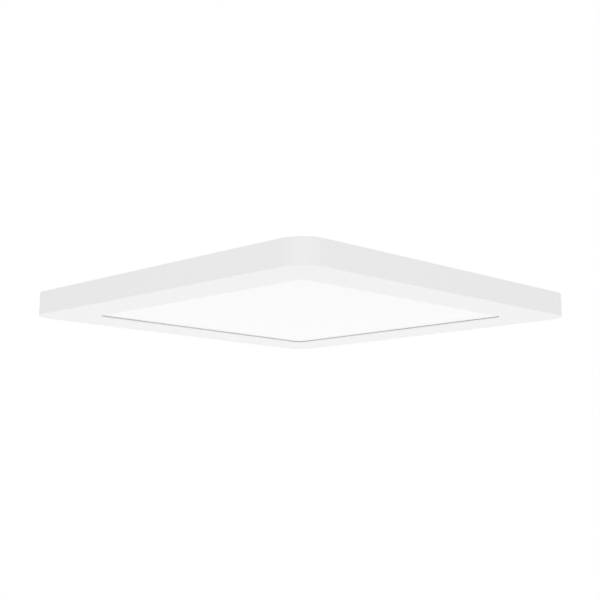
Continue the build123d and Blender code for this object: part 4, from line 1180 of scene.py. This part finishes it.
# ---- camera, lamps, floor
def add_camera():
    camera = new_object("camera", bpy.data.cameras.new("camera"))
    camera.data.lens = CAMERA_LENS
    camera.data.sensor_width = 36
    camera.location = CAMERA_PLACE
    direction = Vector(CAMERA_AIM) - Vector(CAMERA_PLACE)
    camera.rotation_mode = "QUATERNION"
    roll = Matrix.Rotation(-CAMERA_ROLL, 3, "Z").to_quaternion()
    camera.rotation_quaternion = direction.to_track_quat("-Z", "Y") @ roll
    bpy.context.scene.camera = camera


def add_lamps():
    for name, spot, size, watts in LAMPS:
        lamp = bpy.data.lights.new(name, "AREA")
        lamp.shape = "DISK"
        lamp.size = size
        lamp.energy = watts
        piece = new_object(name, lamp)
        piece.location = spot
        piece.rotation_euler = (-Vector(spot)).to_track_quat("-Z", "Y").to_euler()
        piece.visible_camera = False


def seen_directly(nodes, links):
    """1 for camera, glossy and transmission rays, and 0 for the light on the object."""
    path = nodes.new("ShaderNodeLightPath")
    total = path.outputs["Is Camera Ray"]
    for ray in ("Is Glossy Ray", "Is Transmission Ray"):
        larger = nodes.new("ShaderNodeMath")
        larger.operation = "MAXIMUM"
        links.new(total, larger.inputs[0])
        links.new(path.outputs[ray], larger.inputs[1])
        total = larger.outputs[0]
    return total


def add_world():
    world = bpy.data.worlds.new("studio")
    bpy.context.scene.world = world
    world.use_nodes = True
    nodes, links = world.node_tree.nodes, world.node_tree.links
    strength = nodes.new("ShaderNodeMapRange")
    strength.inputs["To Min"].default_value = AMBIENT
    strength.inputs["To Max"].default_value = 1.0
    links.new(seen_directly(nodes, links), strength.inputs["Value"])
    background = nodes["Background"]
    background.inputs["Color"].default_value = (1, 1, 1, 1)
    links.new(strength.outputs["Result"], background.inputs["Strength"])


def add_floor():
    mesh = bmesh.new()
    bmesh.ops.create_circle(mesh, cap_ends=True, segments=96, radius=FLOOR_RADIUS)
    finish = Finish("floor", [FLOOR_COLOUR] * 3, 1.0, Specular_IOR_Level=0.0, Emission_Color=(1, 1, 1, 1))
    glow = finish.node("Math", operation="MULTIPLY")
    glow.inputs[1].default_value = FLOOR_GLOW
    finish.links.new(seen_directly(finish.nodes, finish.links), glow.inputs[0])
    finish.links.new(glow.outputs[0], finish.shader.inputs["Emission Strength"])
    floor = raw_object("floor", mesh, [MATERIALS["floor"]])
    floor.location.z = -FLOOR_DROP


# ---- the scene
bpy.context.scene.view_settings.view_transform = "Standard"
add_camera()
add_lamps()
add_world()
add_floor()
bezel_frame()
for node_name, node_sizes in SHEETS.items():
    plate_piece(node_name, *node_sizes)
for side_name in SIDES:
    led_board(side_name)
    led_row(side_name)
back_plate()
back_plate_screws()
studs_and_nuts()
lead_grommet()
mounting_bracket()
ground_screw()
for side_name in ("right", "left"):
    spring_clip(side_name)
driver_cover()
for node_name in ("input_capacitor", "output_capacitor"):
    capacitor(node_name)
fuse()
varistor()
transformer_winding()
for node_name, lead_route in MAINS_ROUTES.items():
    lead(node_name, lead_route, MAINS_LEAD_DIAMETER)
    conductor(node_name, lead_route)
for node_name, lead_route in LED_ROUTES.items():
    lead(node_name, lead_route, LED_LEAD_DIAMETER)
dress_the_rest()
